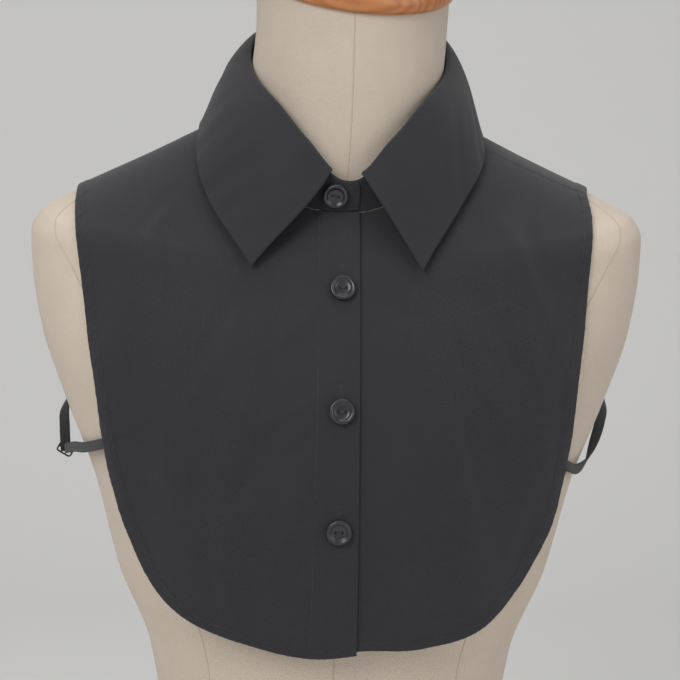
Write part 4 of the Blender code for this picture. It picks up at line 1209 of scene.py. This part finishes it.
@dataclass
class Collar:
    """The stand and the leaf that rolls over it."""

    drape: Drape
    tree: bpy.types.NodeTree
    columns: int = 260
    fall_rows: int = 64
    roll_rows: int = 12
    layer: float = 0.0012        # two layers of poplin with a fused interlining
    finish: bpy.types.Material = field(default_factory=POPLIN.material)

    def shell(self, name: str, middle: np.ndarray, sag: np.ndarray | float = 0.0) -> bpy.types.Object:
        """Builds a shell about its middle points, with rounded edges all round.

        Args:
            name: The piece's name.
            middle: Points, rows by columns by 3.
            sag: How far each point is moved out along the normal.

        Returns:
            The shell.
        """
        normal = grid_normals(middle)
        down = np.linalg.norm(np.diff(middle, axis=0), axis=2)
        down = np.concatenate((np.zeros((1, middle.shape[1])), np.cumsum(down, axis=0)))
        across = np.linalg.norm(np.diff(middle, axis=1), axis=2)
        across = np.concatenate((np.zeros((middle.shape[0], 1)), np.cumsum(across, axis=1)), axis=1)
        edge = np.minimum(np.minimum(down, down[-1] - down), np.minimum(across, across[:, -1:] - across))
        half = self.layer / 2 * np.sqrt(1 - (1 - np.clip(edge / 0.0009, 0, 1)) ** 2)
        rim = 0.00018 * np.exp(-((edge - 0.0016) / 0.0008) ** 2)
        moved = middle + normal * np.asarray(sag + np.zeros(half.shape))[..., None]
        thick = normal * (half + rim)[..., None]
        return wall(name, moved - normal * half[..., None], moved + thick, self.finish)

    def shares(self, count: int) -> np.ndarray:
        """Shares from 0 to 1 with extra ones close to both ends."""
        near = np.array((0.0006, 0.0016, 0.003, 0.005))
        return np.unique(np.concatenate((np.linspace(0, 1, count), near, 1 - near)).round(6))

    def stand(self) -> bpy.types.Object:
        """Builds the stand, its front end rounded at the top."""
        angles = STAND_TOP_END[1] + (STAND_UNDER_END[1] - STAND_TOP_END[1]) * self.shares(self.columns)
        lower, upper = stand_edges(self.drape, angles)
        from_end = np.minimum(np.abs(angles - STAND_TOP_END[1]), np.abs(angles - STAND_UNDER_END[1]))
        drop = 0.30 * (1 - np.sqrt(1 - (1 - np.clip(from_end / 5.0, 0, 1)) ** 2))
        upper = upper + (lower - upper) * drop[:, None]
        down = self.shares(20)[:, None, None]
        points = upper + (lower - upper) * down
        wrinkle = 0.00035 * waver(np.radians(angles) * 0.06, 4)[None] * step(0.5, 1.0, down[..., 0])
        return self.shell("collar_band", points, wrinkle)

    def leaf(self) -> bpy.types.Object:
        """Builds the leaf: the roll, then the fall down to its edge and points."""
        table = np.array(LEAF_EDGE, float)
        angles = LEAF_ENDS[0] + (LEAF_ENDS[1] - LEAF_ENDS[0]) * self.shares(self.columns)
        run = smooth_line(table[:, 1:3] / 1000, 900)
        nearest = [np.argmin(np.linalg.norm(run - row, axis=1)) for row in table[:, 1:3] / 1000]
        place = np.interp(-angles, -table[:, 0], nearest)
        edge = np.stack([np.interp(place, np.arange(900), column) for column in run.T], axis=-1)
        above = np.interp(-angles, -table[:, 0], table[:, 3]) / 1000
        low = lift(self.drape, edge, stand_off(edge[:, 0], edge[:, 1]) + 1.5 * WALL + above)
        away = self.drape.normal(edge[:, 0], edge[:, 1])
        foot_edge, top = stand_edges(self.drape, angles)
        climb, out = unit(top - foot_edge), outward(angles)
        start = top + climb * ROLL_GAP
        turns = np.radians(np.linspace(ROLL_TURNS[0], ROLL_TURNS[-1], self.roll_rows))
        sheet = [start + ROLL_RADIUS * (out * (1 - math.cos(a)) + climb * math.sin(a)) for a in turns]
        leave = out * math.sin(turns[-1]) + climb * math.cos(turns[-1])
        rolled = sheet[-1]
        reach = np.linalg.norm(low - rolled, axis=-1, keepdims=True)
        second = rolled + leave * reach * 0.30
        third = low + (rolled - low) * 0.33 + away * LEAF_BULGE
        shares = self.shares(self.fall_rows)[1:]
        for v in shares:
            sheet.append((1 - v) ** 3 * rolled + 3 * v * (1 - v) ** 2 * second
                         + 3 * v * v * (1 - v) * third + v ** 3 * low)
        middle = np.array(sheet)
        fall = np.concatenate((np.zeros(self.roll_rows), shares))[:, None]
        round_neck = np.radians(angles)[None] * 0.09
        soft = 0.00045 * waver(round_neck * 0.35 + fall * 0.013, 6) * step(0.05, 0.5, fall)
        pucker = 0.00016 * waver(round_neck, 11) * step(0.90, 1.0, fall)
        return self.shell("collar_fall", middle, soft + pucker)

    def seam_row(self) -> bpy.types.Object:
        """Builds the stitches along the stand's lower edge."""
        angles = np.linspace(STAND_TOP_END[1] - 1.2, STAND_UNDER_END[1] + 1.2, 500)
        lower, upper = stand_edges(self.drape, angles)
        climb = unit(upper - lower)
        normal = np.cross(unit(np.gradient(lower, axis=0)), climb)
        sign = np.sign((normal * outward(angles)).sum(axis=1, keepdims=True))
        line = lower + climb * 0.0016 + normal * sign * (self.layer / 2 + 0.00008)
        return stitches("band_topstitch", [line], Row.TOPSTITCH, self.tree)

    def build(self) -> None:
        """Builds and attaches the collar."""
        band, fall, rows = self.stand(), self.leaf(), self.seam_row()
        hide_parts("collar_stand")
        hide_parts("collar_leaf")
        for piece in (band, fall, rows):
            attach(piece, "root")


@dataclass
class Closures:
    """The four buttons with their threads, and the buttonholes that show."""

    drape: Drape
    bib: Bib
    sides: int = 72
    hole_reach: float = 0.0042   # from a button's middle to its buttonhole's far end, past the rim
    hole_length: float = 0.0170
    hole_width: float = 0.0014

    def frames(self) -> list[Matrix]:
        """Where each button sits: the stand's first, then down the front."""
        angle, up = STAND_BUTTON
        lower, upper = stand_edges(self.drape, np.array([angle]))
        climb = unit(upper - lower)[0]
        normal = np.cross((1, 0, 0), climb)
        middle = (lower + (upper - lower) * up)[0] + normal * (WALL / 2 + BUTTON_REST)
        made = [facing(middle, normal, climb)]
        for place in np.array(BUTTON_PLACES) / 1000:
            height = float(self.bib.height(place[None], LAP)[0]) + CLOTH + 0.0005 + BUTTON_REST
            point = lift(self.drape, place[None], height)[0]
            made.append(facing(point, self.drape.normal(place[:1], place[1:])[0], (0, 0, 1)))
        return made

    def button(self, number: int, frame: Matrix, finish: bpy.types.Material) -> bpy.types.Object:
        """Builds a turned button with two bored holes."""
        turn = np.linspace(0, 2 * math.pi, self.sides, endpoint=False)
        profile = smooth_line(np.array(BUTTON_PROFILE) * (BUTTON_RADIUS, 1), 26)
        loops = np.array([np.stack((r * np.cos(turn), r * np.sin(turn), z + 0 * turn), axis=-1)
                          for r, z in profile])
        piece = turned(f"shirt_button_{number}", loops, finish)
        work = bmesh.new()
        for side in (-1, 1):
            bmesh.ops.create_cone(work, cap_ends=True, segments=20, radius1=BUTTON_HOLE, radius2=BUTTON_HOLE,
                                  depth=0.01, matrix=Matrix.Translation((side * BUTTON_HOLE_STEP, 0, 0)))
        pegs = bpy.data.meshes.new("pegs")
        work.to_mesh(pegs)
        work.free()
        tool = bpy.data.objects.new("pegs", pegs)
        bpy.context.scene.collection.objects.link(tool)
        cut = piece.modifiers.new("holes", "BOOLEAN")
        cut.object = tool
        graph = bpy.context.evaluated_depsgraph_get()
        mesh = bpy.data.meshes.new_from_object(piece.evaluated_get(graph))
        bpy.data.objects.remove(piece)
        bpy.data.objects.remove(tool)
        mesh.transform(frame)
        return dress(f"shirt_button_{number}", mesh, finish)

    def thread(self, number: int, frame: Matrix, finish: bpy.types.Material) -> bpy.types.Object:
        """Builds the strands that cross between a button's holes."""
        strands = []
        for lane in (-1.5, -0.5, 0.5, 1.5):
            s = np.linspace(-1, 1, 15)
            line = np.stack((s * BUTTON_HOLE_STEP * 1.15, lane * 0.00032 + 0.00006 * np.sin(3 * s + lane),
                             0.0021 - 0.0016 * np.abs(s) ** 5), axis=-1)
            strand = turned("strand", tube(line, 0.00019, 6), finish)
            strand.data.transform(frame)
            strands.append(strand)
        return join(f"button_thread_{number}", strands)

    def buttonhole(self, x: float, q: float) -> list[np.ndarray]:
        """Lines of close stitches round an upright slit whose top is at (x, q), in metres."""
        half, long = self.hole_width / 2, self.hole_length
        lines = []
        for side in (-1, 1):
            down = np.linspace(q, q + long, 60)
            lines.append(np.stack((x + side * half + 0 * down, down), axis=-1))
        across = np.linspace(x - half * 1.6, x + half * 1.6, 8)
        lines.append(np.stack((across, q + 0 * across), axis=-1))
        return [self.bib.on_top(line, True, 0.00055) for line in lines]

    def build(self) -> None:
        """Builds and attaches the buttons, threads and buttonholes."""
        polyester, thread = POLYESTER.material(), THREAD.material()
        for number, frame in enumerate(self.frames(), 1):
            button = self.button(number, frame, polyester)
            strands = self.thread(number, frame, thread)
            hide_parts(f"button_{number}")
            for piece in (button, strands):
                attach(piece, "root")
        lines = []
        for x, q in np.array(BUTTON_PLACES) / 1000:
            lines += self.buttonhole(x - 0.0006, q - BUTTON_RADIUS - 0.0072)
        holes = stitches("buttonholes", lines, Row.BUTTONHOLE, self.bib.tree)
        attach(holes, "root")


@dataclass
class SideStraps:
    """The elastic straps at the sides and the slider that joins two of them."""

    drape: Drape
    stations: int = 120
    bar: float = 0.0011          # radius of the slider's bars, as drawn
    width: float = STRAP_WIDTH
    thick: float = 0.0011

    def end(self, place: tuple[float, float]) -> list[tuple[float, ...]]:
        """The two points of a strap that is sewn under the bib's edge."""
        x, q = np.array(place) / 1000
        places = np.array(((x - math.copysign(0.004, x), q), (x + math.copysign(0.007, x), q)))
        height = stand_off(places[:, 0], places[:, 1]) - STRAP_TUCK - STRAP_THICK / 2
        return [(*point, 0) for point in lift(self.drape, places, height)]

    def ribbon(self, name: str, route: list, finish: bpy.types.Material) -> bpy.types.Object:
        """Builds a strap along its route, with rounded selvedges.

        Args:
            name: The piece's name.
            route: Points in metres with the twist there in degrees.
            finish: The elastic's material.

        Returns:
            The strap.
        """
        line = smooth_line(np.array(route) * (1, 1, 1, 0.0001), self.stations)
        points, twist = line[:, :3], np.radians(line[:, 3:] / 0.0001)
        along = unit(np.gradient(points, axis=0))
        upright = unit(np.array((0, 0, 1)) - along * along[:, 2:])
        flat = np.cross(along, upright)
        wide = (upright * np.cos(twist) + flat * np.sin(twist)) * self.width / 2
        thick = (flat * np.cos(twist) - upright * np.sin(twist)) * self.thick / 2
        turn = np.linspace(0, 2 * math.pi, 24, endpoint=False)
        c = np.sign(np.cos(turn)) * np.abs(np.cos(turn)) ** 0.5
        s = np.sign(np.sin(turn)) * np.abs(np.sin(turn)) ** 0.5
        loops = points[:, None] + wide[:, None] * c[None, :, None] + thick[:, None] * s[None, :, None]
        return turned(name, loops, finish)

    def slider(self, finish: bpy.types.Material) -> bpy.types.Object:
        """Builds the slider: a rounded frame with a middle bar."""
        across, up = SLIDER_SIZE[0] / 2 - self.bar / 2, SLIDER_SIZE[2] / 2 - self.bar / 2
        turn = np.linspace(0, 2 * math.pi, 49)
        frame_line = np.stack((np.sign(np.cos(turn)) * np.abs(np.cos(turn)) ** 0.35 * across, 0 * turn,
                               np.sign(np.sin(turn)) * np.abs(np.sin(turn)) ** 0.35 * up), axis=-1)
        middle = np.stack((np.linspace(-across, across, 9), np.zeros(9), np.zeros(9)), axis=-1)
        pieces = [turned("bar", tube(line, self.bar / 2, 10), finish) for line in (frame_line, middle)]
        place = Matrix.Translation(SLIDER_PLACE) @ Matrix.Rotation(math.radians(SLIDER_TURN), 4, "Y")
        for piece in pieces:
            piece.data.transform(place)
        return join("strap_slider", pieces)

    def build(self) -> None:
        """Builds and attaches the straps and the slider."""
        elastic, nylon = ELASTIC.material(), NYLON.material()
        ends = {name: self.end(place) for name, place in STRAP_ENDS.items()}
        routes = {name: list(route) for name, route in STRAP_ROUTES.items()}
        right_back = [(*point[:3], 0) for point in ends["right_back"][::-1]]
        left_back = [(*point[:3], 180) for point in ends["left_back"][::-1]]
        straps = {
            "strap_right_front": ends["right_front"] + routes["strap_right_front"],
            "strap_right_back": routes["strap_right_back"] + right_back,
            "strap_left": ends["left_front"] + routes["strap_left"] + left_back,
        }
        for name, route in straps.items():
            piece = self.ribbon(name.replace("strap", "elastic"), route, elastic)
            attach(piece, "root")
            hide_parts(name)
        slider = self.slider(nylon)
        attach(slider, "root")
        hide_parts("slider_right")


@dataclass
class Studio:
    """The pale sweep, the lights and the camera."""

    target: tuple[float, float, float] = (0.00315, 0.0, 0.4595)
    distance: float = 1.5
    elevation: float = 8.0
    azimuth: float = 1.5
    roll: float = 0.9
    lens: float = 126.05

    def camera(self) -> None:
        """Places the camera, level with the chest and a little above it."""
        a, e, r = (math.radians(v) for v in (self.azimuth, self.elevation, self.roll))
        back = Vector((-math.sin(a) * math.cos(e), -math.cos(a) * math.cos(e), math.sin(e)))
        right = Vector((math.cos(a), -math.sin(a), 0))
        up = back.cross(right)
        turned_right = right * math.cos(r) + up * math.sin(r)
        turned_up = up * math.cos(r) - right * math.sin(r)
        data = bpy.data.cameras.new("camera")
        data.lens = self.lens
        data.sensor_width = 36.0
        camera = bpy.data.objects.new("camera", data)
        rotation = Matrix((turned_right, turned_up, back)).transposed().to_4x4()
        camera.matrix_world = Matrix.Translation(Vector(self.target) + back * self.distance) @ rotation
        bpy.context.scene.collection.objects.link(camera)
        bpy.context.scene.camera = camera

    def light(self, name: str, place: tuple[float, float, float], size: float, power: float) -> None:
        """Adds a soft square light that faces the collar."""
        data = bpy.data.lights.new(name, "AREA")
        data.size = size
        data.energy = power
        lamp = bpy.data.objects.new(name, data)
        aim = Vector(self.target) - Vector(place)
        lamp.matrix_world = Matrix.Translation(place) @ aim.to_track_quat("-Z", "Y").to_matrix().to_4x4()
        bpy.context.scene.collection.objects.link(lamp)

    def sweep(self) -> bpy.types.Object:
        """Builds the floor that curves up into the wall behind."""
        turn = np.linspace(0, math.pi / 2, 24)
        curve = [(-4.0, 0.0)] + [(1.1 + 0.9 * math.sin(t), 0.9 - 0.9 * math.cos(t)) for t in turn] + [(2.0, 4.0)]
        points = [(x, y, z) for y, z in curve for x in (-4.0, 4.0)]
        faces = [(2 * i, 2 * i + 1, 2 * i + 3, 2 * i + 2) for i in range(len(curve) - 1)]
        mesh = bpy.data.meshes.new("sweep")
        mesh.from_pydata(points, [], faces)
        return dress("sweep", mesh, PAPER.material())

    def build(self) -> None:
        """Builds the set."""
        self.camera()
        self.light("key", (-1.3, -1.9, 1.9), 1.5, 38)
        self.light("fill", (1.7, -1.5, 1.1), 1.8, 13)
        self.light("top", (0.1, 0.2, 2.4), 1.6, 16)
        world = bpy.data.worlds.new("studio")
        world.use_nodes = True
        background = world.node_tree.nodes["Background"]
        background.inputs["Color"].default_value = linear("#e9eaec")
        background.inputs["Strength"].default_value = 0.42
        bpy.context.scene.world = world
        bpy.context.scene.view_settings.view_transform = "Standard"
        self.sweep()


def main() -> None:
    """Builds the set, the form and the collar."""
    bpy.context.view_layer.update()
    Studio().build()
    LOG.info("studio built")
    for piece in DressForm().build():
        LOG.info("built %s", piece.name)
    drape = Drape()
    tree = stitch_tree(THREAD.material())
    bib = Bib(drape, tree)
    for cad in bib.build():
        LOG.info("built the panel that stands for %s", cad)
    Collar(drape, tree).build()
    LOG.info("collar built")
    Closures(drape, bib).build()
    LOG.info("buttons and buttonholes built")
    SideStraps(drape).build()
    LOG.info("straps built")


if __name__ == "__main__":
    logging.basicConfig(level=logging.INFO)
    main()
